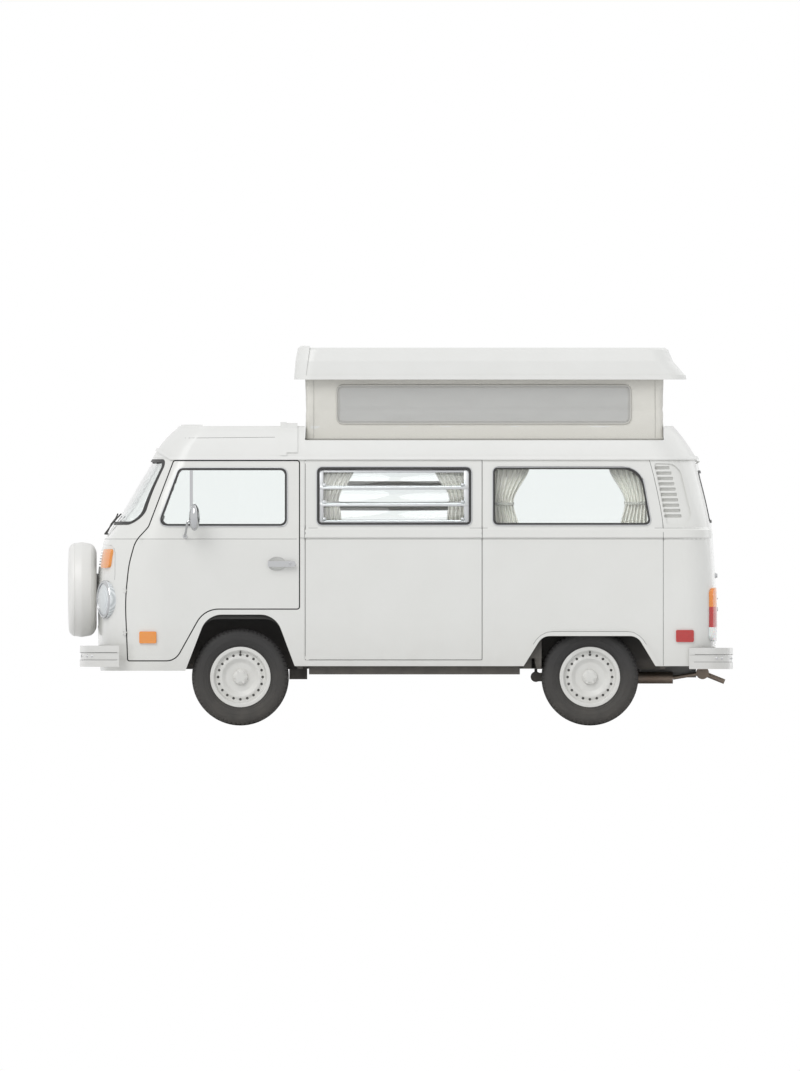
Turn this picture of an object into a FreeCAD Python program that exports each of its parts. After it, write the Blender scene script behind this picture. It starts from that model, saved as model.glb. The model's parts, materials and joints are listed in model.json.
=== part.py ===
"""Camper van with a raised pop-top roof, built as an assembly of its real pieces.

Millimetres. +X points to the tail, -Y is the vehicle's left side, +Z is up.
The origin is on the ground, midway between the two ends and the two sides.
"""

import FreeCAD
import Part
import functools
import math
import os
from collections import namedtuple

Vec = FreeCAD.Vector

# Driving dimensions of the whole vehicle
wheelbase = 2400.0
front_overhang = 983.0
rear_overhang = 867.0
spare_reach = 201.0
bumper_reach = 115.0
track = 1390.0
body_half_width = 861.0
body_bottom_z = 376.0
side_bottom_z = 408.0
belt_z = 1281.0
belt_height = 85.0
gutter_z = 1838.0
roof_top_z = 2057.0
wall_thickness = 45.0
tyre_diameter = 666.0
tyre_width = 185.0
rim_radius = 180.0

# Driving dimensions of the pop-top
tent_length = 2465.0
tent_half_width = 600.0
tent_base_z = 1960.0
cap_bottom_z = 2376.0
cap_height = 219.0
roof_lift = 290.0

# Gaps between pieces, and how far a cutting tool runs past what it cuts
door_gap = 8.0
lid_gap = 7.0
seat_gap = 0.3
running_gap = 0.05
overrun = 60.0

# Places that follow from the driving dimensions
overall_length = spare_reach + front_overhang + wheelbase + rear_overhang + bumper_reach
rear_end_x = overall_length / 2
front_end_x = -rear_end_x
tail_x = rear_end_x - bumper_reach
rear_axle_x = tail_x - rear_overhang
front_axle_x = rear_axle_x - wheelbase
nose_x = front_axle_x - front_overhang
axle_z = tyre_diameter / 2
wheel_y = track / 2
belt_top_z = belt_z + belt_height
far_x = overall_length
far_y = body_half_width + overrun

LEFT = -1
RIGHT = 1
SIDES = (LEFT, RIGHT)
Level = namedtuple("Level", "z front rear half corner_length corner_width rear_radius")

# The body's plan section at each height. Lengths are shares of the body's half width:
# height in its zone, setback of the front and of the tail, half width, then the front
# corner's length and width and the rear corner's radius.
lower_level_shares = [
    (0.000, 0.026, 0.024, 0.950, 0.472, 0.422, 0.200),
    (0.247, 0.007, 0.001, 0.984, 0.499, 0.441, 0.215),
    (0.579, 0.000, 0.002, 0.997, 0.511, 0.447, 0.221),
    (0.833, 0.014, 0.014, 1.000, 0.500, 0.447, 0.226),
    (1.000, 0.060, 0.027, 0.998, 0.465, 0.441, 0.232),
]
upper_level_shares = [
    (0.000, 0.060, 0.027, 0.998, 0.465, 0.441, 0.232),
    (0.153, 0.123, 0.034, 0.987, 0.430, 0.430, 0.238),
    (0.320, 0.188, 0.051, 0.971, 0.383, 0.418, 0.250),
    (0.645, 0.312, 0.098, 0.933, 0.304, 0.400, 0.273),
    (1.000, 0.449, 0.158, 0.880, 0.239, 0.384, 0.290),
]
roof_level_shares = [
    (0.000, 0.449, 0.158, 0.880, 0.239, 0.384, 0.290),
    (0.360, 0.495, 0.213, 0.851, 0.227, 0.374, 0.285),
    (0.735, 0.569, 0.276, 0.815, 0.215, 0.360, 0.273),
    (1.000, 0.640, 0.330, 0.778, 0.200, 0.342, 0.255),
]
roof_shoulder = 14.0
front_bow_share = 0.030
rear_bow_share = 0.022
quarter_curve_share = 0.5523


# Plain shapes

def outline(corners, place):
    """A closed wire through (u, v, radius) corners, each rounded by its radius."""
    edges = []
    joints = []
    for index, (u, v, radius) in enumerate(corners):
        before = corners[index - 1]
        after = corners[(index + 1) % len(corners)]
        here = Vec(u, v, 0)
        to_before = (Vec(before[0], before[1], 0) - here).normalize()
        to_after = (Vec(after[0], after[1], 0) - here).normalize()
        if radius == 0:
            joints.append((here, None, here))
            continue
        half_angle = to_before.getAngle(to_after) / 2
        middle = (to_before + to_after).normalize()
        reach = radius / math.tan(half_angle)
        crown = here + middle * (radius / math.sin(half_angle) - radius)
        joints.append((here + to_before * reach, crown, here + to_after * reach))
    for index, (start, crown, end) in enumerate(joints):
        if crown is not None:
            points = (place(p.x, p.y) for p in (start, crown, end))
            edges.append(Part.Arc(*points).toShape())
        following = joints[(index + 1) % len(joints)][0]
        edges.append(Part.makeLine(place(end.x, end.y), place(following.x, following.y)))
    return Part.Wire(edges)


def grown(wire, growth):
    """The wire moved outwards in its own plane, or inwards where growth is negative."""
    return wire.makeOffset2D(growth) if growth else wire


def side_prism(corners, y_from, y_to, growth=0):
    """A side-view outline of (x, z, radius) corners, pushed across the vehicle."""
    wire = grown(outline(corners, lambda x, z: Vec(x, y_from, z)), growth)
    return Part.Face(wire).extrude(Vec(0, y_to - y_from, 0))


def left_prism(corners, growth=0):
    """A side-view outline that reaches from outside the left wall to the middle."""
    return side_prism(corners, -far_y, 0, growth)


def end_prism(corners, x_from, x_to, growth=0):
    """An end-view outline of (y, z, radius) corners, pushed along the vehicle."""
    wire = grown(outline(corners, lambda y, z: Vec(x_from, y, z)), growth)
    return Part.Face(wire).extrude(Vec(x_to - x_from, 0, 0))


def plan_prism(corners, z_from, z_to, growth=0):
    """A plan outline of (x, y, radius) corners, pushed upwards."""
    wire = grown(outline(corners, lambda x, y: Vec(x, y, z_from)), growth)
    return Part.Face(wire).extrude(Vec(0, 0, z_to - z_from))


def framed(u_span, v_span, radius):
    """Corners of an upright rectangle with four equal radii."""
    (u_from, u_to), (v_from, v_to) = u_span, v_span
    return [(u_from, v_from, radius), (u_to, v_from, radius), (u_to, v_to, radius), (u_from, v_to, radius)]


def centred(u_span, half, radius):
    """Corners of a rectangle that lies evenly about the vehicle's middle line."""
    return framed(u_span, (-half, half), radius)


def span(start, length):
    """Two limits, from where something starts and how long it is."""
    return (start, start + length) if length > 0 else (start + length, start)


def around(middle, width):
    """Two limits at equal distances from a middle."""
    return (middle - width / 2, middle + width / 2)


def across(side, near, far):
    """Two limits across the vehicle on one side, from two distances off the middle."""
    return tuple(sorted((side * near, side * far)))


def box(x_span, y_span, z_span):
    """A box between two limits along each axis."""
    size = [high - low for low, high in (x_span, y_span, z_span)]
    return Part.makeBox(*size, Vec(x_span[0], y_span[0], z_span[0]))


def region(x_from, x_to, z_from, z_to):
    """A box across the whole width, between two places along the side."""
    return box((x_from, x_to), (-far_y, far_y), (z_from, z_to))


def rod(start, end, radius):
    """A round bar between two points."""
    along = end - start
    return Part.makeCylinder(radius, along.Length, start, along)


def bent_rod(points, radius):
    """Round bars end to end, with a ball at each bend."""
    pieces = [rod(a, b, radius) for a, b in zip(points, points[1:])]
    pieces += [Part.makeSphere(radius, p) for p in points[1:-1]]
    return pieces[0].fuse(pieces[1:]).removeSplitter()


def turned(profile, centre, axis, outwards):
    """A solid of revolution from (radius, offset along the axis, rounding) corners."""
    wire = outline(profile, lambda r, w: centre + outwards * r + axis * w)
    return Part.Face(wire).revolve(centre, axis, 360)


def egg(centre, reach_x, reach_y, reach_z):
    """A ball stretched to a reach along each axis."""
    ball = Part.makeSphere(1.0)
    stretch = FreeCAD.Matrix()
    stretch.scale(reach_x, reach_y, reach_z)
    stretch.move(centre)
    return ball.transformGeometry(stretch)


def mirrored(shape):
    """The same shape on the other side of the vehicle."""
    return shape.mirror(Vec(0, 0, 0), Vec(0, 1, 0))


def on_side(shape, side):
    """A shape made for the left side, on the side asked for."""
    return shape if side == LEFT else mirrored(shape)


def joined(shapes):
    """One solid from shapes that overlap or share faces."""
    shapes = list(shapes)
    return shapes[0].fuse(shapes[1:]).removeSplitter() if len(shapes) > 1 else shapes[0]


def group(shapes):
    """Separate solids kept in one node."""
    solids = [solid for shape in shapes for solid in shape.Solids]
    return Part.makeCompound(solids)


# The body's curved skin

def levels(shares, low_z, high_z):
    """The plan sections of one zone of the body, between two heights."""
    made = []
    for height, front, rear, *widths in shares:
        half, length, width, radius = (share * body_half_width for share in widths)
        z = low_z + height * (high_z - low_z)
        x_front = nose_x + front * body_half_width
        x_rear = tail_x - rear * body_half_width
        made.append(Level(z, x_front, x_rear, half, length, width, radius))
    return tuple(made)


lower = levels(lower_level_shares, body_bottom_z, belt_z)
upper = levels(upper_level_shares, belt_z, gutter_z)
roof = levels(roof_level_shares, gutter_z, roof_top_z - roof_shoulder)


def at_height(level, z):
    """The same plan section at another height."""
    return level._replace(z=z)


def between(low, high, share):
    """The plan section a share of the way from one level to another."""
    return Level(*(a + share * (b - a) for a, b in zip(low, high)))


def level_at(z):
    """The plan section at any height of the body."""
    known = lower + upper[1:] + roof[1:]
    for low, high in zip(known, known[1:]):
        if z <= high.z:
            return between(low, high, (z - low.z) / (high.z - low.z))
    return known[-1]


def section_edges(level, inset):
    """The front, the tail and both sides of the plan outline, moved inwards by inset."""
    half = level.half - inset
    front_half = level.half - level.corner_width
    rear_half = level.half - level.rear_radius
    front_bow = front_bow_share * body_half_width
    rear_bow = rear_bow_share * body_half_width
    front_x = level.front + inset
    rear_x = level.rear - inset
    corner_x = level.front + front_bow + level.corner_length
    tail_corner_x = level.rear - rear_bow - level.rear_radius

    def at(x, y):
        return Vec(x, y, level.z)

    def bowed(x, half_span, sagitta):
        """A shallow arc across the front or the tail, and its slope at the ends."""
        arc = Part.Arc(at(x + sagitta, -half_span), at(x, 0), at(x + sagitta, half_span))
        return arc.toShape(), 2 * sagitta / half_span

    def corner(start, end, slope):
        """A quarter curve from a bowed end face into a straight side."""
        reach_x = quarter_curve_share * (end.x - start.x)
        reach_y = quarter_curve_share * (end.y - start.y)
        step = Vec(slope * abs(reach_y), reach_y, 0)
        curve = Part.BezierCurve()
        curve.setPoles([start, start + step, end - Vec(reach_x, 0, 0), end])
        return curve.toShape()

    front, front_slope = bowed(front_x, front_half, front_bow)
    rear, rear_slope = bowed(rear_x, rear_half, -rear_bow)
    edges = [front, rear]
    for side in SIDES:
        front_end = at(corner_x, side * half)
        rear_end = at(tail_corner_x, side * half)
        front_start = at(front_x + front_bow, side * front_half)
        rear_start = at(rear_x - rear_bow, side * rear_half)
        edges.append(corner(front_start, front_end, front_slope))
        edges.append(Part.makeLine(front_end, rear_end))
        edges.append(corner(rear_start, rear_end, rear_slope))
    return edges


def section_wire(level, inset):
    """A closed plan outline of the body at one level, moved inwards by inset."""
    return Part.Wire(Part.__sortEdges__(section_edges(level, inset)))


def front_at(y, z):
    """Where the front of the body lies, at a place across and a height."""
    level = level_at(z)
    ray = Part.makeLine(Vec(nose_x - overrun, y, level.z), Vec(rear_axle_x, y, level.z))
    hits = [edge.distToShape(ray)[1][0][0] for edge in section_edges(level, 0) if edge.distToShape(ray)[0] < running_gap]
    return min(hit.x for hit in hits)


def side_at(x, z):
    """How far the body's side stands off the middle, at a place along and a height."""
    level = level_at(z)
    ray = Part.makeLine(Vec(x, 0, level.z), Vec(x, far_y, level.z))
    return section_wire(level, 0).distToShape(ray)[1][0][0].y


@functools.cache
def envelope(zone, inset):
    """The solid inside the body's skin over one zone, moved inwards by inset."""
    return Part.makeLoft([section_wire(level, inset) for level in zone], True)


@functools.cache
def skin(zone, outer_inset, inner_inset):
    """The layer between two insets of the body's skin over one zone."""
    return envelope(zone, outer_inset).cut(envelope(zone, inner_inset))


def stacked(sections):
    """Straight walls from each (level, inset) plan section up to the next."""
    return Part.makeLoft([section_wire(level, inset) for level, inset in sections], True, True)


# Places along the side, measured from the axles
cab_door_rear_lead = 402.0
cab_door_length = 1189.0
b_pillar_width = 41.0
side_door_length = 1216.0
rear_corner_lead = 508.0
rear_corner_rake = 96.0
cab_door_rear_x = front_axle_x + cab_door_rear_lead
cab_door_front_x = cab_door_rear_x - cab_door_length
side_door_front_x = cab_door_rear_x + b_pillar_width
side_door_rear_x = side_door_front_x + side_door_length
rear_corner_x = rear_axle_x + rear_corner_lead
scuttle_rise = 69.0
scuttle_z = belt_z + scuttle_rise
wall_top_z = gutter_z + overrun
wall_foot_z = body_bottom_z - overrun

# Cab door and its window, as shares of the door's length and height
cab_door_foot_rise = 72.0
cab_door_top_drop = 22.0
cab_door_bottom_z = body_bottom_z + cab_door_foot_rise
cab_door_top_z = gutter_z - cab_door_top_drop
cab_door_height = cab_door_top_z - cab_door_bottom_z
cab_door_outline_shares = [
    (0.279, 1.000, 0.012),
    (0.134, 0.668, 0.070),
    (0.058, 0.596, 0.150),
    (0.021, 0.482, 0.600),
    (0.000, 0.300, 1.200),
    (0.014, 0.000, 0.008),
    (0.284, 0.000, 0.085),
    (0.451, 0.2600, 0.145),
    (1.000, 0.2600, 0.012),
    (1.000, 1.000, 0.012),
]
cab_window_outline_shares = [
    (0.310, 0.960, 0.035),
    (0.190, 0.679, 0.040),
    (0.925, 0.679, 0.035),
    (0.925, 0.960, 0.035),
]

# Windows of the living space
window_sill_rise = 18.0
window_head_drop = 70.0
window_bottom_z = belt_top_z + window_sill_rise
window_top_z = gutter_z - window_head_drop
window_corner_radius = 32.0
middle_window_front_margin = 89.0
middle_window_rear_margin = 79.0
rear_window_front_margin = 82.0
rear_window_top_lead = 346.0
rear_window_bottom_lead = 414.0
rear_window_sweep_radius = 150.0

# Rubber seals and glass
seal_width = 20.0
seal_lip = 4.0
seal_inside = 8.0
glass_setback = 10.0
glass_thickness = 5.0
glass_gap = 0.3

# Wheel openings, as places along the side from the axle
arch_foot_z = side_bottom_z - overrun
front_arch_top_z = 762.0
front_arch_feet = (-389.0, 395.0)
front_arch_shoulders = (-230.0, 241.0)
front_arch_radius = 150.0
rear_arch_top_z = 615.0
rear_arch_feet = (-492.0, 487.0)
rear_arch_shoulders = (-326.0, 326.0)
rear_arch_radius = 90.0


def cab_outline(shares):
    """Corners in the side view from shares of the cab door's length and height."""
    return [
        (
            cab_door_front_x + along * cab_door_length,
            cab_door_bottom_z + up * cab_door_height,
            radius * cab_door_length,
        )
        for along, up, radius in shares
    ]


def arch_outline(axle_x, feet, shoulders, top_z, radius):
    """Corners of a wheel opening with sloping sides."""
    return [
        (axle_x + feet[0], arch_foot_z, 0),
        (axle_x + shoulders[0], top_z, radius),
        (axle_x + shoulders[1], top_z, radius),
        (axle_x + feet[1], arch_foot_z, 0),
    ]


cab_door_corners = cab_outline(cab_door_outline_shares)
cab_window_corners = cab_outline(cab_window_outline_shares)
window_z = (window_bottom_z, window_top_z)
middle_window_x = (
    side_door_front_x + middle_window_front_margin,
    side_door_rear_x - middle_window_rear_margin,
)
middle_window_corners = framed(middle_window_x, window_z, window_corner_radius)
rear_window_front_x = side_door_rear_x + rear_window_front_margin
rear_window_bottom_x = rear_axle_x + rear_window_bottom_lead
rear_window_corners = [
    (rear_window_front_x, window_bottom_z, window_corner_radius),
    (rear_window_bottom_x, window_bottom_z, window_corner_radius),
    (rear_axle_x + rear_window_top_lead, window_top_z, rear_window_sweep_radius),
    (rear_window_front_x, window_top_z, window_corner_radius),
]
front_arch_corners = arch_outline(
    front_axle_x, front_arch_feet, front_arch_shoulders, front_arch_top_z, front_arch_radius
)
rear_arch_corners = arch_outline(
    rear_axle_x, rear_arch_feet, rear_arch_shoulders, rear_arch_top_z, rear_arch_radius
)


# Barrel hinges, each with a pin and two knuckles on the fixed piece and one on the lid

knuckle_gap = 0.4


def hinge(middle, pin_axis, to_fixed, to_lid, radius):
    """The fixed half and the moving half of a hinge, each with its arms."""
    step = pin_axis * radius * 2
    pin_radius = radius / 2
    pin = rod(middle - step * 1.5, middle + step * 1.5, pin_radius)
    fixed = [pin]
    for end in (-1, 1):
        near = middle + step * end * 0.5 + pin_axis * end * knuckle_gap
        far = middle + step * end * 1.5
        fixed.append(rod(near, far, radius))
        fixed.append(rod((near + far) * 0.5, (near + far) * 0.5 + to_fixed, radius * 0.7))
    lid = rod(middle - step * 0.5, middle + step * 0.5, radius)
    lid = lid.fuse(rod(middle, middle + to_lid, radius * 0.7))
    lid = lid.cut(rod(middle - step, middle + step, pin_radius + running_gap))
    return joined(fixed), lid


# Walls, from which every panel and door is cut

belt_relief = 13.0
belt_station_shares = [(0.00, -0.15), (0.15, 1.00), (0.72, 1.00), (1.00, -0.15)]


def belt_moulding():
    """The raised band under the windows, behind the cab doors."""
    low, high = upper[0], upper[1]
    band = stacked([(between(low, high, up), -belt_relief * out) for up, out in belt_station_shares])
    behind_door = region(cab_door_rear_x + door_gap, far_x, wall_foot_z, wall_top_z)
    return band.cut(envelope(upper, wall_thickness / 2)).common(behind_door)


walls = joined([skin(lower, 0, wall_thickness), skin(upper, 0, wall_thickness)])
walls_with_band = joined([walls, belt_moulding()])


# Front

windscreen_bottom_rise = 111.0
windscreen_top_drop = 21.0
windscreen_bottom_half = 775.0
windscreen_top_half = 668.0
windscreen_corner_radius = 75.0
windscreen_bottom_z = belt_z + windscreen_bottom_rise
windscreen_top_z = gutter_z - windscreen_top_drop
windscreen_corners = [
    (-windscreen_bottom_half, windscreen_bottom_z, windscreen_corner_radius),
    (windscreen_bottom_half, windscreen_bottom_z, windscreen_corner_radius),
    (windscreen_top_half, windscreen_top_z, windscreen_corner_radius),
    (-windscreen_top_half, windscreen_top_z, windscreen_corner_radius),
]
nose_tool_x = (nose_x - overrun, front_axle_x - wall_thickness)

nose_recess_depth = 3.5
nose_recess_length = 123.0
nose_recess_height = 558.0
nose_recess_drop = 37.0
nose_recess_outline_shares = [
    (0.309, 1.000, 0.08),
    (0.740, 0.993, 0.30),
    (1.000, 0.894, 0.50),
    (0.951, 0.634, 0.00),
    (0.813, 0.211, 0.00),
    (0.577, 0.047, 0.30),
    (0.154, 0.000, 0.08),
]
nose_recess_top_z = belt_z - nose_recess_drop
nose_recess_bottom_z = nose_recess_top_z - nose_recess_height

headlamp_y = 595.0
headlamp_z = 866.0
headlamp_radius = 132.0
headlamp_yaw = math.radians(20.0)
headlamp_stand = 6.0
headlamp_bucket_radius = 100.0
headlamp_bucket_length = 150.0
headlamp_face_shares = [
    (0.00, -0.24, 0.00),
    (0.50, -0.21, 0.80),
    (0.85, -0.06, 0.03),
    (0.92, -0.10, 0.02),
    (1.00, -0.03, 0.06),
    (1.00, 1.00, 0.00),
    (0.00, 1.00, 0.00),
]

grille_half = 425.0
grille_top_drop = 73.0
grille_height = 116.0
grille_slots = 6
grille_slot_height = 11.0
grille_slot_depth = 14.0


def windscreen_prism(corners, growth=0):
    """The windscreen's outline, pushed back along the vehicle."""
    return end_prism(corners, *nose_tool_x, growth)


def front_shell():
    """The body ahead of the door pillars, with door and wheel openings cut."""
    shell = walls.common(region(-far_x, cab_door_rear_x + door_gap, 0, wall_top_z))
    for side in SIDES:
        shell = shell.cut(on_side(left_prism(cab_door_corners, door_gap), side))
        shell = shell.cut(on_side(left_prism(front_arch_corners), side))
    return shell


def headlamp_axis(side):
    """The point in the middle of a headlamp's ring, and the way its back points."""
    backwards = Vec(math.cos(headlamp_yaw), -side * math.sin(headlamp_yaw), 0)
    x = front_at(headlamp_y, headlamp_z)
    return Vec(x, side * headlamp_y, headlamp_z) - backwards * headlamp_stand, backwards


def nose_recess():
    """The shallow pressed field that holds the lamps and the spare wheel."""
    corners = [
        (
            nose_x + along * nose_recess_length,
            nose_recess_bottom_z + up * nose_recess_height,
            radius * nose_recess_length,
        )
        for along, up, radius in nose_recess_outline_shares
    ]
    ends = [(nose_tool_x[0], nose_recess_bottom_z, 0), (nose_tool_x[0], nose_recess_top_z, 0)]
    seats = []
    for side in SIDES:
        middle, backwards = headlamp_axis(side)
        reach = backwards * headlamp_bucket_length
        seats.append(rod(middle - reach, middle + reach, headlamp_radius + seat_gap))
    field = side_prism(ends + corners, -far_y, far_y).fuse(seats)
    return field.common(skin(lower, -overrun, nose_recess_depth))


def nose_openings():
    """What is cut from the nose: lamp buckets, air slots and the pressed field."""
    cutters = []
    for side in SIDES:
        middle, backwards = headlamp_axis(side)
        reach = backwards * (headlamp_bucket_length + overrun)
        cutters.append(rod(middle - reach, middle + reach, headlamp_bucket_radius + seat_gap))
    low = belt_z - grille_top_drop - grille_height
    pitch = grille_height / grille_slots
    deep = skin(lower, -overrun, nose_recess_depth + grille_slot_depth)
    ahead = (nose_tool_x[0], nose_x + 2 * overrun)
    for index in range(grille_slots):
        slot = box(ahead, (-grille_half, grille_half), span(low + index * pitch, grille_slot_height))
        cutters.append(slot.common(deep))
    return cutters + [nose_recess()]


def nose_panel(shell):
    """The nose below the windscreen, with the strips over the front wheels."""
    panel = shell.common(region(-far_x, far_x, 0, scuttle_z))
    behind_wheel = region(front_axle_x, far_x, 0, side_bottom_z)
    return panel.cut(nose_openings()).cut(behind_wheel)


def windscreen_frame(shell):
    """Screen pillars, header and the rails above the cab doors."""
    frame = shell.common(region(-far_x, far_x, scuttle_z, wall_top_z))
    return frame.cut(windscreen_prism(windscreen_corners))


# Sides

rear_corner_corners = [
    (rear_corner_x, wall_foot_z, 0),
    (rear_corner_x, belt_top_z, 0),
    (rear_corner_x - rear_corner_rake, gutter_z, 0),
    (rear_corner_x - rear_corner_rake, wall_top_z, 0),
    (far_x, wall_top_z, 0),
    (far_x, wall_foot_z, 0),
]
seam_width = 4.0
seam_depth = 3.5
side_door_bottom_z = 450.0
side_door_top_drop = 14.0
side_door_radius = 14.0
side_door_gap = 6.0
side_door_z = (side_door_bottom_z, gutter_z - side_door_top_drop)
side_door_x = (side_door_front_x, side_door_rear_x)
side_door_corners = framed(side_door_x, side_door_z, side_door_radius)
arch_lip_width = 30.0
arch_lip_relief = 7.0

fuel_flap_size = 170.0
fuel_flap_lead = 140.0
fuel_flap_bottom_z = 900.0
fuel_flap_gap = 5.5
fuel_flap_radius = 22.0
fuel_flap_thickness = 12.0
fuel_flap_x = side_door_rear_x + fuel_flap_lead
fuel_flap_z = span(fuel_flap_bottom_z, fuel_flap_size)
fuel_flap_corners = framed(span(fuel_flap_x, fuel_flap_size), fuel_flap_z, fuel_flap_radius)

door_track_height = 16.0
door_track_depth = 20.0
door_track_z = belt_top_z - belt_height / 2


def seam_tool():
    """The pressed seams round the left middle panel, as one shallow cutter."""
    ring = side_prism(side_door_corners, -far_y, 0, seam_width)
    ring = ring.cut(side_prism(side_door_corners, -far_y, 0))
    return group([ring.common(skin(zone, -overrun, seam_depth)) for zone in (lower, upper)])


def arch_lip():
    """The turned-out edge round a rear wheel opening."""
    band = left_prism(rear_arch_corners, arch_lip_width).cut(left_prism(rear_arch_corners))
    band = band.common(region(-far_x, far_x, side_bottom_z, belt_z))
    return skin(lower, -arch_lip_relief, wall_thickness / 2).common(band)


def side_panel():
    """A body side from the door pillar to the rear corner, made on the left."""
    along = (cab_door_rear_x + door_gap, rear_corner_x + overrun)
    panel = walls_with_band.common(box(along, (-far_y, 0), (side_bottom_z, wall_top_z)))
    panel = panel.cut(left_prism(rear_corner_corners))
    panel = panel.fuse(arch_lip()).cut(left_prism(rear_arch_corners))
    return panel.cut(left_prism(rear_window_corners))


def left_side(panel):
    """The left side: louvre window opening and pressed seams."""
    return panel.cut(left_prism(middle_window_corners)).cut(seam_tool())


def right_side(panel):
    """The right side: sliding-door opening, its track and the fuel recess."""
    panel = panel.cut(left_prism(side_door_corners, side_door_gap))
    track_x = (side_door_rear_x, rear_corner_x - overrun)
    track = box(track_x, (-far_y, 0), around(door_track_z, door_track_height))
    panel = panel.cut(track.common(skin(upper, -overrun, door_track_depth)))
    recess = left_prism(fuel_flap_corners, fuel_flap_gap)
    outer = skin(lower, -overrun, fuel_flap_thickness + fuel_flap_gap)
    return mirrored(panel.cut(recess.common(outer)))


def sliding_door():
    """The side door on the right, as thick as the wall, with its window opening."""
    door = walls_with_band.common(left_prism(side_door_corners))
    return mirrored(door.cut(left_prism(middle_window_corners)))


def fuel_flap():
    """The fuel filler's lid, flush with the side, made on the left."""
    return skin(lower, 0, fuel_flap_thickness).common(left_prism(fuel_flap_corners))


fuel_hinge_radius = 4.0
fuel_hinge_proud = 4.5
fuel_hinge_z = sum(fuel_flap_z) / 2
fuel_hinge_x = fuel_flap_x - fuel_flap_gap / 2
fuel_hinge_y = side_at(fuel_hinge_x, fuel_hinge_z) + fuel_hinge_proud


def fuel_hinge():
    """The flap's hinge at its front edge, made on the left."""
    inwards = Vec(0, fuel_hinge_radius * 2.6, 0)
    aside = Vec(fuel_hinge_radius * 3, 0, 0)
    middle = Vec(fuel_hinge_x, -fuel_hinge_y, fuel_hinge_z)
    return hinge(middle, Vec(0, 0, 1), inwards - aside, inwards + aside, fuel_hinge_radius)


# Rear

tailgate_bottom_z = 905.0
tailgate_top_drop = 36.0
tailgate_bottom_half = 600.0
tailgate_top_half = 560.0
tailgate_radius = 70.0
tail_window_sill = 500.0
tail_window_head = 62.0
tail_window_margin = 85.0
tailgate_top_z = gutter_z - tailgate_top_drop
tailgate_corners = [
    (-tailgate_bottom_half, tailgate_bottom_z, tailgate_radius),
    (tailgate_bottom_half, tailgate_bottom_z, tailgate_radius),
    (tailgate_top_half, tailgate_top_z, tailgate_radius),
    (-tailgate_top_half, tailgate_top_z, tailgate_radius),
]
tail_window_bottom_z = tailgate_bottom_z + tail_window_sill
tail_window_top_z = tailgate_top_z - tail_window_head
tail_window_bottom_half = tailgate_bottom_half - tail_window_margin
tail_window_top_half = tailgate_top_half - tail_window_margin
tail_window_corners = [
    (-tail_window_bottom_half, tail_window_bottom_z, tailgate_radius),
    (tail_window_bottom_half, tail_window_bottom_z, tailgate_radius),
    (tail_window_top_half, tail_window_top_z, tailgate_radius),
    (-tail_window_top_half, tail_window_top_z, tailgate_radius),
]
engine_lid_bottom_z = 560.0
engine_lid_height = 308.0
engine_lid_half = 400.0
engine_lid_radius = 45.0
engine_lid_z = span(engine_lid_bottom_z, engine_lid_height)
engine_lid_corners = centred(engine_lid_z, engine_lid_half, engine_lid_radius)
engine_lid_corners = [(y, z, radius) for z, y, radius in engine_lid_corners]
tail_tool_x = (rear_corner_x - overrun, rear_end_x + overrun)

tail_hinge_radius = 7.0
tail_hinge_y = 350.0
tail_hinge_z = tailgate_top_z + tail_hinge_radius + lid_gap / 3
tail_hinge_proud = 9.0
tail_hinge_x = level_at(tail_hinge_z).rear + tail_hinge_proud
lid_hinge_radius = 6.0
lid_hinge_y = 250.0
lid_hinge_z = engine_lid_z[1] + lid_gap / 2
lid_hinge_proud = 8.0
lid_hinge_x = level_at(lid_hinge_z).rear + lid_hinge_proud


def tail_prism(corners, growth=0):
    """An end-view outline through the tail."""
    return end_prism(corners, *tail_tool_x, growth)


def rear_hinges(x, z, y, radius, up, down):
    """A pair of hinges across the tail; up and down are how far their arms reach."""
    fixed = []
    lid = []
    forwards = Vec(-radius * 4, 0, 0)
    for side in SIDES:
        middle = Vec(x, side * y, z)
        arms = forwards + Vec(0, 0, up), forwards - Vec(0, 0, down)
        still, moving = hinge(middle, Vec(0, 1, 0), *arms, radius)
        fixed.append(still)
        lid.append(moving)
    return fixed, lid


tail_hinges, tailgate_hinges = rear_hinges(
    tail_hinge_x, tail_hinge_z, tail_hinge_y, tail_hinge_radius, tail_hinge_radius, tail_hinge_radius * 3
)
lid_hinges, engine_lid_hinges = rear_hinges(
    lid_hinge_x, lid_hinge_z, lid_hinge_y, lid_hinge_radius, lid_hinge_radius * 2.2, lid_hinge_radius * 2.2
)

vent_slots = 10
vent_slot_height = 23.0
vent_slot_radius = 6.0
vent_slot_depth = 30.0
vent_recess_depth = 9.0
vent_recess_length = 257.0
vent_recess_height = 426.0
vent_recess_lead = 68.0
vent_recess_rise = 10.0
vent_recess_outline_shares = [
    (0.000, 1.000, 0.06),
    (0.506, 0.990, 0.30),
    (0.720, 0.861, 0.30),
    (1.000, 0.157, 0.20),
    (0.875, 0.009, 0.12),
    (0.354, 0.000, 0.08),
]
# First and last slot: height in the recess, start and length along it
vent_slot_place_shares = ((0.925, 0.020, 0.397), (0.149, 0.276, 0.459))
vent_sweep_share = 0.8


def vent_slot(index):
    """One air slot of a rear quarter, cut to an even depth from outside."""
    share = index / (vent_slots - 1)
    first, last = vent_slot_place_shares
    up = first[0] + share * (last[0] - first[0])
    start = first[1] + share ** vent_sweep_share * (last[1] - first[1])
    length = first[2] + share * (last[2] - first[2])
    z = belt_top_z + vent_recess_rise + up * vent_recess_height
    x = rear_corner_x - vent_recess_lead + start * vent_recess_length
    corners = framed(span(x, length * vent_recess_length), around(z, vent_slot_height), vent_slot_radius)
    return side_prism(corners, -far_y, vent_slot_depth - level_at(z).half)


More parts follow.
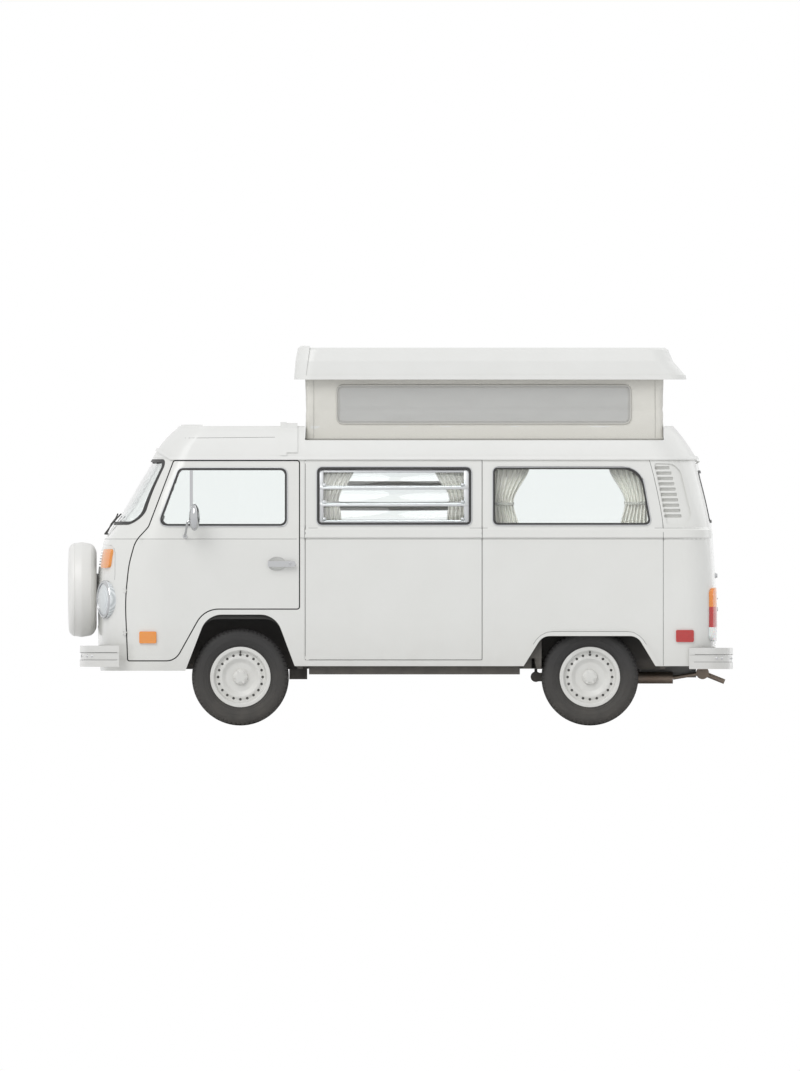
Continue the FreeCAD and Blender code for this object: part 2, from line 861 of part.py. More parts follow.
def vent_recess():
    """The pressed field round the air slots of a rear quarter."""
    corners = [
        (
            rear_corner_x - vent_recess_lead + along * vent_recess_length,
            belt_top_z + vent_recess_rise + up * vent_recess_height,
            radius * vent_recess_length,
        )
        for along, up, radius in vent_recess_outline_shares
    ]
    return left_prism(corners).common(skin(upper, -overrun, vent_recess_depth))


def rear_body():
    """Both rear corners and the frame round the tailgate and the engine lid."""
    shell = walls_with_band.common(region(side_door_rear_x, far_x, side_bottom_z, wall_top_z))
    shell = shell.common(side_prism(rear_corner_corners, -far_y, far_y))
    vents = group([vent_recess()] + [vent_slot(index) for index in range(vent_slots)])
    shell = shell.cut([tail_prism(tailgate_corners, lid_gap), tail_prism(engine_lid_corners, lid_gap)])
    shell = shell.cut(vents.Solids + mirrored(vents).Solids)
    return joined([shell] + tail_hinges + lid_hinges)


def tailgate():
    """The top-hinged tailgate, with its window opening."""
    panel = walls.common(tail_prism(tailgate_corners)).cut(tail_prism(tail_window_corners))
    return joined([panel] + tailgate_hinges)


def engine_lid():
    """The top-hinged engine lid."""
    return joined([walls.common(tail_prism(engine_lid_corners))] + engine_lid_hinges)


# Cab doors, with their hinges, handles and mirrors, made on the left

vent_divider_lead = 439.0
vent_divider_width = 22.0
door_hinge_z = (640.0, 930.0)
door_hinge_radius = 6.0
door_hinge_proud = 12.5
door_hinge_x = cab_door_front_x - door_gap / 2
door_hinge_y = max(side_at(door_hinge_x, z) for z in door_hinge_z) + door_hinge_proud

handle_lead = 214.0
handle_length = 191.0
handle_height = 39.0
handle_thickness = 12.0
handle_stand = 22.0
handle_boss_radius = 11.0
handle_boss_depth = 20.0
handle_dish_length = 126.0
handle_dish_height = 97.0
handle_dish_depth = 12.0
handle_drop = 171.0
handle_x = cab_door_rear_x - handle_lead
handle_z = belt_z - handle_drop
handle_skin_y = side_at(handle_x, handle_z)
handle_boss_margin = handle_boss_radius + seat_gap

mirror_half_length = 37.0
mirror_half_width = 65.0
mirror_half_height = 92.0
mirror_lead = 471.0
mirror_rise = 148.0
mirror_stand = 135.0
mirror_face_lead = 20.0
mirror_foot_lead = 64.0
mirror_foot_drop = 129.0
mirror_foot_radius = 15.0
mirror_arm_radius = 8.0
mirror_x = cab_door_front_x + mirror_lead
mirror_z = belt_z + mirror_rise
mirror_foot_x = mirror_x - mirror_foot_lead
mirror_foot_z = mirror_z - mirror_foot_drop
mirror_skin_y = side_at(mirror_foot_x, mirror_foot_z)


def door_hinges():
    """Both hinges of the left cab door: their fixed halves and their moving halves."""
    halves = []
    for z in door_hinge_z:
        middle = Vec(door_hinge_x, -door_hinge_y, z)
        ahead = Vec(-door_hinge_radius * 2.4, door_hinge_radius * 4.5, 0)
        behind = Vec(door_hinge_radius * 3.4, door_hinge_radius * 2.6, 0)
        halves.append(hinge(middle, Vec(0, 0, 1), ahead, behind, door_hinge_radius))
    return [still for still, moving in halves], [moving for still, moving in halves]


door_hinges_fixed, door_hinges_moving = door_hinges()


def handle_bosses(radius):
    """The two studs that carry the handle's lever, from inside the door outwards."""
    studs = []
    for x in (handle_x + handle_boss_margin, handle_x + handle_length - handle_boss_margin):
        inner = Vec(x, -handle_skin_y + handle_boss_depth, handle_z)
        outer = Vec(x, -handle_skin_y - handle_stand - handle_thickness / 2, handle_z)
        studs.append(rod(inner, outer, radius))
    return studs


def cab_door():
    """The left cab door without glass: panel, window frame and handle dish."""
    door = walls.common(left_prism(cab_door_corners)).cut(left_prism(cab_window_corners))
    dish_middle = Vec(handle_x + handle_dish_length / 2, -handle_skin_y, handle_z)
    dish = egg(dish_middle, handle_dish_length / 2, handle_dish_depth, handle_dish_height / 2)
    for hollow in [dish] + handle_bosses(handle_boss_margin):
        door = door.cut(hollow)
    return joined([door] + door_hinges_moving)


def door_handle():
    """A flat lever with a rounded end, on two studs."""
    tall = around(handle_z, handle_height)
    corners = framed(span(handle_x, handle_length), tall, handle_height / 5)
    corners[1] = corners[1][:2] + (handle_height * 0.45,)
    corners[2] = corners[2][:2] + (handle_height * 0.45,)
    face_y = -handle_skin_y - handle_stand
    lever = side_prism(corners, face_y - handle_thickness, face_y)
    return joined([lever] + handle_bosses(handle_boss_radius - seat_gap))


def door_mirror():
    """The outside mirror on its curved arm."""
    middle = Vec(mirror_x, -mirror_skin_y - mirror_stand, mirror_z)
    head = egg(middle, mirror_half_length, mirror_half_width, mirror_half_height)
    head = head.cut(region(mirror_x + mirror_face_lead, far_x, 0, gutter_z))
    foot = Vec(mirror_foot_x, -mirror_skin_y, mirror_foot_z)
    outwards = Vec(0, -1, 0)
    bend = foot + outwards * mirror_foot_radius * 2
    neck = middle - Vec(mirror_half_length * 1.3, 0, mirror_half_height / 3)
    arm = bent_rod([foot - outwards * mirror_foot_radius, bend, neck, middle], mirror_arm_radius)
    base = rod(foot - outwards * mirror_foot_radius, foot + outwards * mirror_arm_radius, mirror_foot_radius)
    return joined([joined([arm, base]).cut(envelope(upper, -seat_gap)), head])


# Roof base with its gutter, ribs and tray

roof_thickness = 28.0
roof_crown_drop = 5.0
roof_crown_step = 6.0
roof_crown_inset = 14.0
roof_step_rise = 37.0
roof_step_relief = 2.5
tray_front_lead = 341.0
tray_rear_margin = 36.0
tray_half = 500.0
tray_depth = 80.0
tray_radius = 60.0
front_lip_inset = 18.0
front_lip_width = 45.0
front_lip_height = 10.0
front_lip_length = 82.0
gutter_reach = 14.0
gutter_thickness = 25.0
gutter_bend_lead = 483.0
gutter_tip_lead = 571.0
gutter_climb = 55.0

tent_front_lead = 443.0
tent_wall = 6.0
tent_radius = 45.0
tent_foot_gap = 2.0
hatch_margin = 50.0
hatch_half = 560.0
hatch_radius = 150.0
tent_front_x = front_axle_x + tent_front_lead
tent_rear_x = tent_front_x + tent_length
hatch_x = (tent_front_x + hatch_margin, tent_rear_x - hatch_margin)

# Cross ribs ahead of the tent: start, length, height over the roof, foot over the gutter
rib_starts = (-168.0, -125.0)
rib_lengths = (43.0, 75.0)
rib_heights = (27.0, 20.0)
rib_feet = (15.0, 37.0)
rib_relief = 8.0
tray_x = (tent_front_x + rib_starts[0] - tray_rear_margin, front_axle_x - tray_front_lead)
tray_x = tuple(sorted(tray_x))


def roof_form(growth, rise):
    """The roof's outer form with a rounded edge, grown sideways and raised."""
    top = roof[-1]
    crown = [
        (top, -growth),
        (at_height(top, roof_top_z - roof_crown_drop + rise), roof_crown_step - growth),
        (at_height(top, roof_top_z + rise), roof_crown_inset - growth),
    ]
    return joined([envelope(roof, -growth), stacked(crown)])


def gutter():
    """The rain gutter round the roof, climbing over the windscreen."""
    half_height = gutter_thickness / 2
    bend_x = front_axle_x - gutter_bend_lead
    tip_x = front_axle_x - gutter_tip_lead
    slope = gutter_climb / (bend_x - tip_x)
    run = [
        (far_x, gutter_z),
        (bend_x, gutter_z),
        (tip_x - overrun, gutter_z + slope * (bend_x - tip_x + overrun)),
    ]
    above = [(x, z + half_height, 0) for x, z in run]
    below = [(x, z - half_height, 0) for x, z in reversed(run)]
    slab = side_prism(above + below, -far_y, far_y)
    on_roof = skin(roof, -gutter_reach, roof_thickness / 2).common(slab)
    on_wall = skin(upper, -gutter_reach, -seat_gap).common(slab)
    return joined([on_roof, on_wall])


def roof_rib(start, length, height, foot):
    """A raised band across the roof that wraps down both sides."""
    x = tent_front_x + start
    band = region(x, x + length, gutter_z + foot, far_x)
    return roof_form(rib_relief, height).common(band)


def roof_flange():
    """The step along the sides of the roof, up to the first rib."""
    band = region(-far_x, tent_front_x + rib_starts[0], gutter_z, gutter_z + roof_step_rise)
    return skin(roof, -roof_step_relief, roof_thickness / 2).common(band)


def front_lip():
    """The raised edge at the front of the roof."""
    top = roof[-1]

    def ring(inset):
        low = (at_height(top, roof_top_z - roof_crown_drop), inset)
        high = (at_height(top, roof_top_z + front_lip_height), inset + front_lip_height)
        return stacked([low, high])

    lip = ring(front_lip_inset).cut(ring(front_lip_inset + front_lip_width))
    return lip.common(region(-far_x, tray_x[0] + front_lip_length, 0, far_x))


def roof_base():
    """The fixed roof: gutter, luggage tray, ribs and the hatch into the tent."""
    ribs = [roof_rib(*place) for place in zip(rib_starts, rib_lengths, rib_heights, rib_feet)]
    outer = joined([roof_form(0, 0), roof_flange(), front_lip()] + ribs)
    tent_x = (tent_front_x, tent_rear_x)
    above_foot = (tent_base_z, roof_top_z + overrun)
    ledge = plan_prism(centred(tent_x, body_half_width, 0), *above_foot)
    inside = centred(tent_x, tent_half_width, tent_radius)
    rim = plan_prism(inside, tent_base_z, roof_top_z + overrun, -tent_wall - tent_foot_gap)
    hollow = envelope(roof, roof_thickness).common(region(-far_x, far_x, 0, tent_base_z - roof_thickness))
    hatch = plan_prism(centred(hatch_x, hatch_half, hatch_radius), gutter_z, roof_top_z + overrun)
    tray_z = (roof_top_z - tray_depth, roof_top_z + overrun)
    tray = plan_prism(centred(tray_x, tray_half, tray_radius), *tray_z)
    base = outer.cut([ledge.cut(rim), hollow, hatch, tray])
    return joined([base, gutter()]).cut([post_bore(*place) for place in post_places])


# Pop-top: posts, cap and tent

post_margin = 26.0
post_inset = 15.0
post_radius = 18.0
post_rod_radius = 12.0
post_foot_drop = 60.0
post_tube_length = 350.0
post_overlap = 50.0
post_foot_z = tent_base_z - post_foot_drop
post_tube_z = post_foot_z + post_tube_length
post_places = [
    (x, side * (hatch_half - post_inset))
    for x in (hatch_x[0] + post_margin, hatch_x[1] - post_margin)
    for side in SIDES
]

cap_front_reach = 71.0
cap_length = 2684.0
cap_half_width = 655.0
cap_thickness = 18.0
cap_flange_reach = 7.0
cap_flange_height = 31.0
cap_band_length = 73.0
cap_band_top_length = 64.0
cap_band_lead = 38.0
cap_band_relief = 6.0
cap_band_height = 13.0
cap_front_x = tent_front_x - cap_front_reach
cap_rear_x = cap_front_x + cap_length
cap_top_z = cap_bottom_z + cap_height
# Height, then setback at the front and the rear, half width and corner radius,
# all but the height as shares of the cap's half width
cap_level_shares = [
    (0.000, 0.006, 0.000, 1.000, 0.168),
    (0.142, 0.008, 0.008, 0.995, 0.171),
    (0.575, 0.020, 0.131, 0.977, 0.183),
    (0.935, 0.045, 0.181, 0.943, 0.191),
    (1.000, 0.080, 0.216, 0.908, 0.183),
]

tent_tuck = 24.0
tent_window_front_margin = 220.0
tent_window_rear_margin = 228.0
tent_window_foot = 114.0
tent_window_height = 262.0
tent_window_radius = 46.0
tent_window_depth = 2.5


def post_bore(x, y):
    """The hole in the roof base that holds a post's tube."""
    return rod(Vec(x, y, post_foot_z), Vec(x, y, post_tube_z), post_radius + seat_gap)


def roof_posts():
    """Four tubes that guide the raised roof."""
    tubes = []
    for x, y in post_places:
        foot, top = Vec(x, y, post_foot_z), Vec(x, y, post_tube_z)
        tube = rod(foot, top, post_radius)
        tubes.append(tube.cut(rod(foot, top, post_rod_radius + running_gap)))
    return group(tubes)


def cap_posts():
    """Four rods that slide in the tubes and carry the cap."""
    low = post_tube_z - post_overlap
    high = cap_top_z - cap_thickness - seat_gap
    return group(rod(Vec(x, y, low), Vec(x, y, high), post_rod_radius) for x, y in post_places)


def cap_form(inset, rise):
    """The cap's outer form, moved inwards by inset on its sides and stretched upwards."""
    wires = []
    for up, front, rear, half, radius in cap_level_shares:
        z = cap_bottom_z + up * (cap_height + rise)
        ends = (
            cap_front_x + front * cap_half_width + inset,
            cap_rear_x - rear * cap_half_width - inset,
        )
        corners = centred(ends, half * cap_half_width - inset, radius * cap_half_width - inset)
        wires.append(outline(corners, lambda x, y, z=z: Vec(x, y, z)))
    return Part.makeLoft(wires, True, True)


def roof_cap():
    """The rigid cap over the tent, hollow from below, with a flange and a front band."""
    flange = cap_form(-cap_flange_reach, 0)
    flange = flange.common(region(-far_x, far_x, 0, cap_bottom_z + cap_flange_height))
    low, high = cap_bottom_z, cap_top_z + overrun
    steep = cap_band_lead * (high - low) / cap_height
    band_corners = [
        (cap_front_x - overrun, low, 0),
        (cap_front_x + cap_band_length, low, 0),
        (cap_front_x + cap_band_top_length + steep, high, 0),
        (cap_front_x - overrun, high, 0),
    ]
    band = cap_form(-cap_band_relief, cap_band_height)
    band = band.common(side_prism(band_corners, -far_y, far_y))
    inner = cap_form(cap_thickness, 0).common(region(-far_x, far_x, 0, cap_top_z - cap_thickness))
    return joined([cap_form(0, 0), flange, band]).cut(inner)


def tent():
    """The fabric walls between the roof base and the cap, with window panels."""
    foot = tent_base_z + seat_gap
    top = cap_bottom_z + tent_tuck
    corners = centred((tent_front_x, tent_rear_x), tent_half_width, tent_radius)
    wall = plan_prism(corners, foot, top, -seat_gap).cut(plan_prism(corners, foot, top, -tent_wall))
    along = (tent_front_x + tent_window_front_margin, tent_rear_x - tent_window_rear_margin)
    window = framed(along, span(tent_base_z + tent_window_foot, tent_window_height), tent_window_radius)
    for side in SIDES:
        face = side * tent_half_width
        wall = wall.cut(side_prism(window, face + side * overrun, face - side * tent_window_depth))
    return wall


# Windows

louvre_slats = 3
louvre_rail_width = 42.0
louvre_edge_bar_height = 34.0
louvre_bar_height = 28.0
louvre_bar_depth = 14.0
louvre_slat_lean = 16.0
louvre_hold = 4.0


def sealing_layer(inner_inset):
    """The layer at a window that its rubber seal takes up, down to an inset."""
    return skin(upper, -seal_lip, inner_inset)


def seal_between(prism, corners):
    """A rubber seal in a window opening, with a lip over the panel outside."""
    inside = prism(corners, -seal_inside)
    ring = prism(corners, seal_width - seal_inside).cut(inside)
    lip = sealing_layer(-seat_gap).common(ring)
    core = sealing_layer(glass_setback + glass_thickness + seal_inside)
    return joined([lip, core.common(prism(corners, -seat_gap).cut(inside))])


def pane(prism, corners):
    """The glass inside a seal, on the same curve as the body."""
    glass = skin(upper, glass_setback, glass_setback + glass_thickness)
    return glass.common(prism(corners, -seal_inside - glass_gap))


rear_pane = pane(left_prism, rear_window_corners)
rear_seal = seal_between(left_prism, rear_window_corners)
middle_seal = seal_between(left_prism, middle_window_corners)
cab_pane = pane(left_prism, cab_window_corners)
cab_seal = seal_between(left_prism, cab_window_corners)


def fixed_glass():
    """Windscreen, both rear side windows and the sliding door's window."""
    sliding_pane = mirrored(pane(left_prism, middle_window_corners))
    screen = pane(windscreen_prism, windscreen_corners)
    return group([screen, rear_pane, mirrored(rear_pane), sliding_pane])


def window_seals():
    """The seals of every window that stays with the body."""
    screen = seal_between(windscreen_prism, windscreen_corners)
    return group([screen, rear_seal, mirrored(rear_seal), middle_seal, mirrored(middle_seal)])


def louvre_window():
    """The middle window's leaning slats of glass, held in an aluminium frame."""
    inset = seal_inside + glass_gap
    x_from, x_to = middle_window_x[0] + inset, middle_window_x[1] - inset
    low, high = window_bottom_z + inset, window_top_z - inset
    radius = window_corner_radius - inset
    bars = louvre_slats - 1
    opening = (high - low - 2 * louvre_edge_bar_height - bars * louvre_bar_height) / louvre_slats
    layer = skin(upper, seal_inside, seal_inside + louvre_bar_depth)
    frame = left_prism(framed((x_from, x_to), (low, high), radius))
    slats = []
    clear_x = (x_from + louvre_rail_width, x_to - louvre_rail_width)
    foot = low + louvre_edge_bar_height
    for index in range(louvre_slats):
        head = foot + opening
        frame = frame.cut(left_prism(framed(clear_x, (foot, head), 0)))
        y_foot = level_at(foot).half - glass_setback
        y_head = level_at(head).half - glass_setback
        corners = [
            (-y_foot - louvre_slat_lean, foot - louvre_hold, 0),
            (-y_foot - louvre_slat_lean + glass_thickness, foot - louvre_hold, 0),
            (-y_head + glass_thickness, head + louvre_hold, 0),
            (-y_head, head + louvre_hold, 0),
        ]
        slats.append(end_prism(corners, clear_x[0] - louvre_hold, clear_x[1] + louvre_hold))
        foot = head + louvre_bar_height
    return joined([layer.common(frame)] + slats)


def vent_divider():
    """The upright bar between the cab door's quarter light and its main glass."""
    along = span(cab_door_front_x + vent_divider_lead, vent_divider_width)
    bar = sealing_layer(glass_setback + glass_thickness + seal_inside)
    bar = bar.common(region(*along, window_bottom_z - overrun, window_top_z + overrun))
    bar = bar.common(left_prism(cab_window_corners, -seal_inside - glass_gap))
    return bar.cut(skin(upper, glass_setback - seat_gap, glass_setback + glass_thickness + seat_gap))


def door_fittings():
    """Window divider, handle and mirror of the left cab door."""
    return group([vent_divider(), door_handle(), door_mirror()])


# Bumpers

front_bumper_reach = 119.0
front_bumper_length = 269.0
front_bumper_half = 850.0
front_bumper_bottom_z = 403.0
rear_bumper_length = 301.0
rear_bumper_half = 875.0
rear_bumper_bottom_z = 388.0
bumper_height = 146.0
bumper_thickness = 30.0
bumper_band_rise = 47.0
bumper_band_height = 52.0
bumper_band_depth = 5.0
bumper_corner_length = 290.0
bumper_corner_width = 320.0
bumper_rear_radius = 180.0
bumper_iron_y = 360.0
bumper_iron_width = 50.0
bumper_weld = 1.0
front_bumper_x = nose_x - front_bumper_reach
front_bumper_end_x = front_bumper_x + front_bumper_length
rear_bumper_end_x = rear_end_x - rear_bumper_length


def bumper_ring(half, z_span, inset):
    """The solid inside the bumpers' shared plan outline."""
    widths = (half, bumper_corner_length, bumper_corner_width, bumper_rear_radius)
    return stacked([(Level(z, front_bumper_x, rear_end_x, *widths), inset) for z in z_span])


def bumper(half, bottom_z, x_span, irons_x):
    """A pressed bumper with a recessed band, and the irons that carry it."""
    tall = span(bottom_z, bumper_height)
    band = span(bottom_z + bumper_band_rise, bumper_band_height)
    blade = bumper_ring(half, tall, 0).cut(bumper_ring(half, tall, bumper_thickness))
    groove = bumper_ring(half, band, -overrun).cut(bumper_ring(half, band, bumper_band_depth))
    blade = blade.cut(groove).common(region(*x_span, 0, belt_z))
    irons = []
    for side in SIDES:
        iron = box(irons_x, around(side * bumper_iron_y, bumper_iron_width), band)
        iron = iron.cut(envelope(lower, -seat_gap))
        irons.append(iron.common(bumper_ring(half, band, bumper_thickness - bumper_weld)))
    return joined([blade] + irons)


# Spare wheel

spare_z = 934.0
spare_radius = 326.0
spare_thickness = 197.0
spare_boss_radius = 110.0
spare_cover_shares = [
    (0.00, 1.000, 0.00),
    (0.80, 1.000, 0.15),
    (0.96, 0.880, 0.18),
    (1.00, 0.480, 0.15),
    (0.97, 0.150, 0.10),
    (0.89, 0.030, 0.18),
    (0.45, 0.000, 0.15),
    (0.00, 0.000, 0.00),
]


def spare_cover():
    """The spare wheel in its cover, on a boss on the nose."""
    profile = [
        (out * spare_radius, along * spare_thickness, rounding * spare_radius)
        for out, along, rounding in spare_cover_shares
    ]
    face = Vec(front_end_x, 0, spare_z)
    cover = turned(profile, face, Vec(1, 0, 0), Vec(0, 0, 1))
    back = face + Vec(spare_thickness - bumper_weld, 0, 0)
    boss = rod(back, Vec(nose_x + overrun, 0, spare_z), spare_boss_radius)
    return joined([cover, boss.cut(envelope(lower, nose_recess_depth - seat_gap))])


# Lamps

indicator_y = (500.0, 655.0)
indicator_bottom_rise = 217.0
indicator_height = 129.0
indicator_radius = 26.0
indicator_relief = 14.0
marker_relief = 12.0
marker_radius = 10.0
front_marker_lead = -695.0
front_marker_length = 118.0
front_marker_z = 564.0
front_marker_height = 82.0
rear_marker_lead = 591.0
rear_marker_length = 123.0
rear_marker_z = 573.0
rear_marker_height = 83.0
tail_lamp_y = (640.0, 765.0)
tail_lamp_bottom_z = 577.0
tail_lamp_height = 370.0
tail_lamp_radius = 50.0
tail_lamp_relief = 24.0


def headlamps():
    """Both headlamps: ring and domed lens outside, a bucket through the nose."""
    profile = [
        (out * headlamp_radius, back * headlamp_radius, rounding * headlamp_radius)
        for out, back, rounding in headlamp_face_shares
    ]
    lamps = []
    for side in SIDES:
        middle, backwards = headlamp_axis(side)
        face = turned(profile, middle, backwards, Vec(0, 0, 1))
        face = face.cut(envelope(lower, nose_recess_depth - seat_gap))
        bucket = rod(middle, middle + backwards * headlamp_bucket_length, headlamp_bucket_radius)
        lamps.append(joined([face, bucket]))
    return group(lamps)


def side_marker(x_span, z_span):
    """A small lamp that stands on the left side's skin."""
    return skin(lower, -marker_relief, -seat_gap).common(left_prism(framed(x_span, z_span, marker_radius)))


def front_marker():
    """The side marker on the lower front of the left cab door."""
    along = span(front_axle_x + front_marker_lead, front_marker_length)
    return side_marker(along, span(front_marker_z, front_marker_height))


def signal_lamps():
    """Front indicators, rear side markers and tail lamps."""
    along = span(rear_axle_x + rear_marker_lead, rear_marker_length)
    lamps = [side_marker(along, span(rear_marker_z, rear_marker_height))]
    indicator_z = span(nose_recess_bottom_z + nose_recess_height - indicator_height * 1.25, indicator_height)
    ahead = end_prism(framed(indicator_y, indicator_z, indicator_radius), *nose_tool_x)
    lamps.append(mirrored(skin(lower, -indicator_relief, nose_recess_depth - seat_gap).common(ahead)))
    behind = tail_prism(framed(tail_lamp_y, span(tail_lamp_bottom_z, tail_lamp_height), tail_lamp_radius))
    lamps.append(mirrored(skin(lower, -tail_lamp_relief, -seat_gap).common(behind)))
    return group(lamps + [mirrored(lamp) for lamp in lamps])


# Wipers

wiper_pivots_y = (-60.0, 330.0)
wiper_length = 380.0
wiper_pivot_rise = 35.0
wiper_tip_rise = 171.0
wiper_clear = 22.0
wiper_radius = 5.0


def screen_point(y, rise, clear):
    """A point in front of the windscreen's curve, by its rise over the belt."""
    z = belt_z + rise
    return Vec(front_at(y, z) - clear, y, z)


def wipers():
    """Two wiper arms and blades, parked."""
    made = []
    near = wiper_clear - wiper_radius
    climb = wiper_tip_rise - wiper_pivot_rise
    for pivot_y in wiper_pivots_y:
        foot = screen_point(pivot_y, wiper_pivot_rise, -wiper_radius)
        knee = screen_point(pivot_y, wiper_pivot_rise, wiper_clear)
        end = screen_point(pivot_y - wiper_length * 0.55, wiper_pivot_rise + climb * 0.5, wiper_clear)
        blade_from = screen_point(pivot_y - wiper_length * 0.15, wiper_pivot_rise + climb * 0.6, near)
        blade_to = screen_point(pivot_y - wiper_length, wiper_tip_rise, near)
        arm = bent_rod([foot, knee, end], wiper_radius)
        link = rod(end, (blade_from + blade_to) * 0.5, wiper_radius)
        arm = joined([arm, link, rod(blade_from, blade_to, wiper_radius)])
        made.append(arm.cut(envelope(upper, -seat_gap)))
    return group(made)


# Floor and underframe

cab_floor_z = 520.0
seat_deck_z = 750.0
living_floor_z = 480.0
rear_deck_z = 880.0
floor_thickness = 25.0
floor_wall_gap = 1.0
door_swing_gap = 13.0
floor_front_margin = 42.0
floor_rear_margin = 43.0
seat_deck_front_lead = 431.0
seat_deck_rear_lead = 430.0
rear_deck_lead = 351.0
floor_inside = wall_thickness + floor_wall_gap
seat_deck_x = (front_axle_x - seat_deck_front_lead, front_axle_x + seat_deck_rear_lead)
rear_deck_x = (rear_axle_x - rear_deck_lead, tail_x - floor_rear_margin)
floor_run = [
    (nose_x + floor_front_margin, cab_floor_z),
    (seat_deck_x[0], cab_floor_z),
    (seat_deck_x[0], seat_deck_z),
    (seat_deck_x[1], seat_deck_z),
    (seat_deck_x[1], living_floor_z),
    (rear_deck_x[0], living_floor_z),
    (rear_deck_x[0], rear_deck_z),
    (rear_deck_x[1], rear_deck_z),
]
floor_top = floor_thickness / 2
floor_under = floor_thickness / 2 + seat_gap

rail_height = 55.0
living_rail_height = 77.0
rail_y = 360.0
rail_width = 60.0
rail_bend = 40.0
rear_rail_top_z = 640.0
rear_rail_height = 70.0
rail_front_margin = 92.0
rail_rear_margin = 88.0
rail_step_lead = 399.0
rail_kick_lead = 311.0
cross_member_length = 60.0
cross_member_leads = (-861.0, 499.0, 1269.0, 1939.0)
sill_length = 1448.0
sill_lead = 28.0
sill_bottom_z = 351.0
sill_y = (718.0, 768.0)
jack_bracket_lead = 336.0
jack_bracket_length = 123.0
jack_bracket_bottom_z = 318.0
rail_front_x = nose_x + rail_front_margin
rail_rear_x = tail_x - rail_rear_margin
rail_step_x = front_axle_x + rail_step_lead
rail_kick_x = rear_axle_x - rail_kick_lead
cab_rail_top_z = cab_floor_z - floor_under
living_rail_top_z = living_floor_z - floor_under
cab_rail_z = (cab_rail_top_z - rail_height, cab_rail_top_z)
living_rail_z = (living_rail_top_z - living_rail_height, living_rail_top_z)
rail_corners = [
    (rail_front_x, cab_rail_z[1], 0),
    (rail_step_x, cab_rail_z[1], 0),
    (rail_step_x, living_rail_z[1], 0),
    (rear_deck_x[0] + floor_under, living_rail_z[1], 0),
    (rail_kick_x, rear_rail_top_z, 0),
    (rail_rear_x, rear_rail_top_z, 0),
    (rail_rear_x, rear_rail_top_z - rear_rail_height, 0),
    (rail_kick_x + rail_bend * 1.5, rear_rail_top_z - rear_rail_height, 0),
    (rail_kick_x, living_rail_z[0], 0),
    (rail_step_x, living_rail_z[0], 0),
    (rail_step_x - rail_bend, cab_rail_z[0], 0),
    (rail_front_x, cab_rail_z[0], 0),
]


def folded_sheet(run, thickness):
    """A sheet across the vehicle, folded along a stepped (x, z) run."""
    strips = []
    half = thickness / 2
    for (x0, z0), (x1, z1) in zip(run, run[1:]):
        low_x, high_x = sorted((x0, x1))
        low_z, high_z = sorted((z0, z1))
        strips.append(region(low_x - half, high_x + half, low_z - half, high_z + half))
    return joined(strips)


def fitted(shape):
    """What of a shape lies inside the body's walls."""
    return joined([shape.common(envelope(zone, floor_inside)) for zone in (lower, upper)])


def door_swing(zone):
    """The room that a cab door needs inside the walls as it swings."""
    beside_door = region(cab_door_front_x - overrun, cab_door_rear_x + door_gap, 0, gutter_z)
    return skin(zone, 0, wall_thickness + door_swing_gap).common(beside_door)


def floor_pan():
    """Cab floor, raised seat deck over the front wheels, living floor and rear deck."""
    floor = folded_sheet(floor_run, floor_thickness).common(envelope(lower, floor_inside))
    return floor.cut(door_swing(lower))


def underframe():
    """Two long rails with cross members, and the sills on their outriggers."""
    pieces = []
    sill_x = span(side_door_front_x + sill_lead, sill_length)
    bracket_x = span(front_axle_x + jack_bracket_lead, jack_bracket_length)
    for side in SIDES:
        near, far = around(side * rail_y, rail_width)
        pieces.append(side_prism(rail_corners, near, far))
        pieces.append(box(sill_x, across(side, *sill_y), (sill_bottom_z, living_rail_z[1])))
        pieces.append(box(bracket_x, (near, far), (jack_bracket_bottom_z, cab_rail_z[0])))
    for lead in cross_member_leads:
        x = front_axle_x + lead
        heights, reach = (cab_rail_z, rail_y) if x < rail_step_x else (living_rail_z, sill_y[1])
        pieces.append(box(span(x, cross_member_length), (-reach, reach), heights))
    return joined(pieces)


# Running gear

kingpin_y = 590.0
axle_tube_lead = 141.0
axle_tube_drop = 43.0
axle_tube_spread = 120.0
axle_tube_radius = 28.0
axle_tube_half = 470.0
arm_radius = 12.0
kingpin_radius = 12.0
kingpin_eye_radius = 24.0
kingpin_eye_half = 13.0
kingpin_thrust_gap = 6.0
stub_radius = 20.0
stub_reach = 26.0
steering_arm_length = 110.0
steering_arm_radius = 10.0
axle_mount_width = 50.0
axle_tube_x = front_axle_x - axle_tube_lead
axle_tube_low_z = axle_z - axle_tube_drop
axle_tube_z = (axle_tube_low_z, axle_tube_low_z + axle_tube_spread)

rear_tube_lead = 371.0
rear_tube_z = 335.0
rear_tube_radius = 36.0
rear_arm_y = (500.0, 560.0)
rear_arm_half_height = 30.0
rear_mount_length = 20.0
half_shaft_radius = 20.0
engine_front_lead = 344.0
engine_length = 385.0
engine_half = 300.0
engine_bottom_z = 330.0
engine_height = 410.0
gearbox_half = 110.0
gearbox_rear_lead = 151.0
gearbox_bottom_z = 300.0
gearbox_height = 180.0
spine_half = 60.0
rear_tube_x = rear_axle_x - rear_tube_lead
engine_x = span(rear_axle_x + engine_front_lead, engine_length)
gearbox_x = (rear_axle_x - gearbox_rear_lead, engine_x[0] - seat_gap)


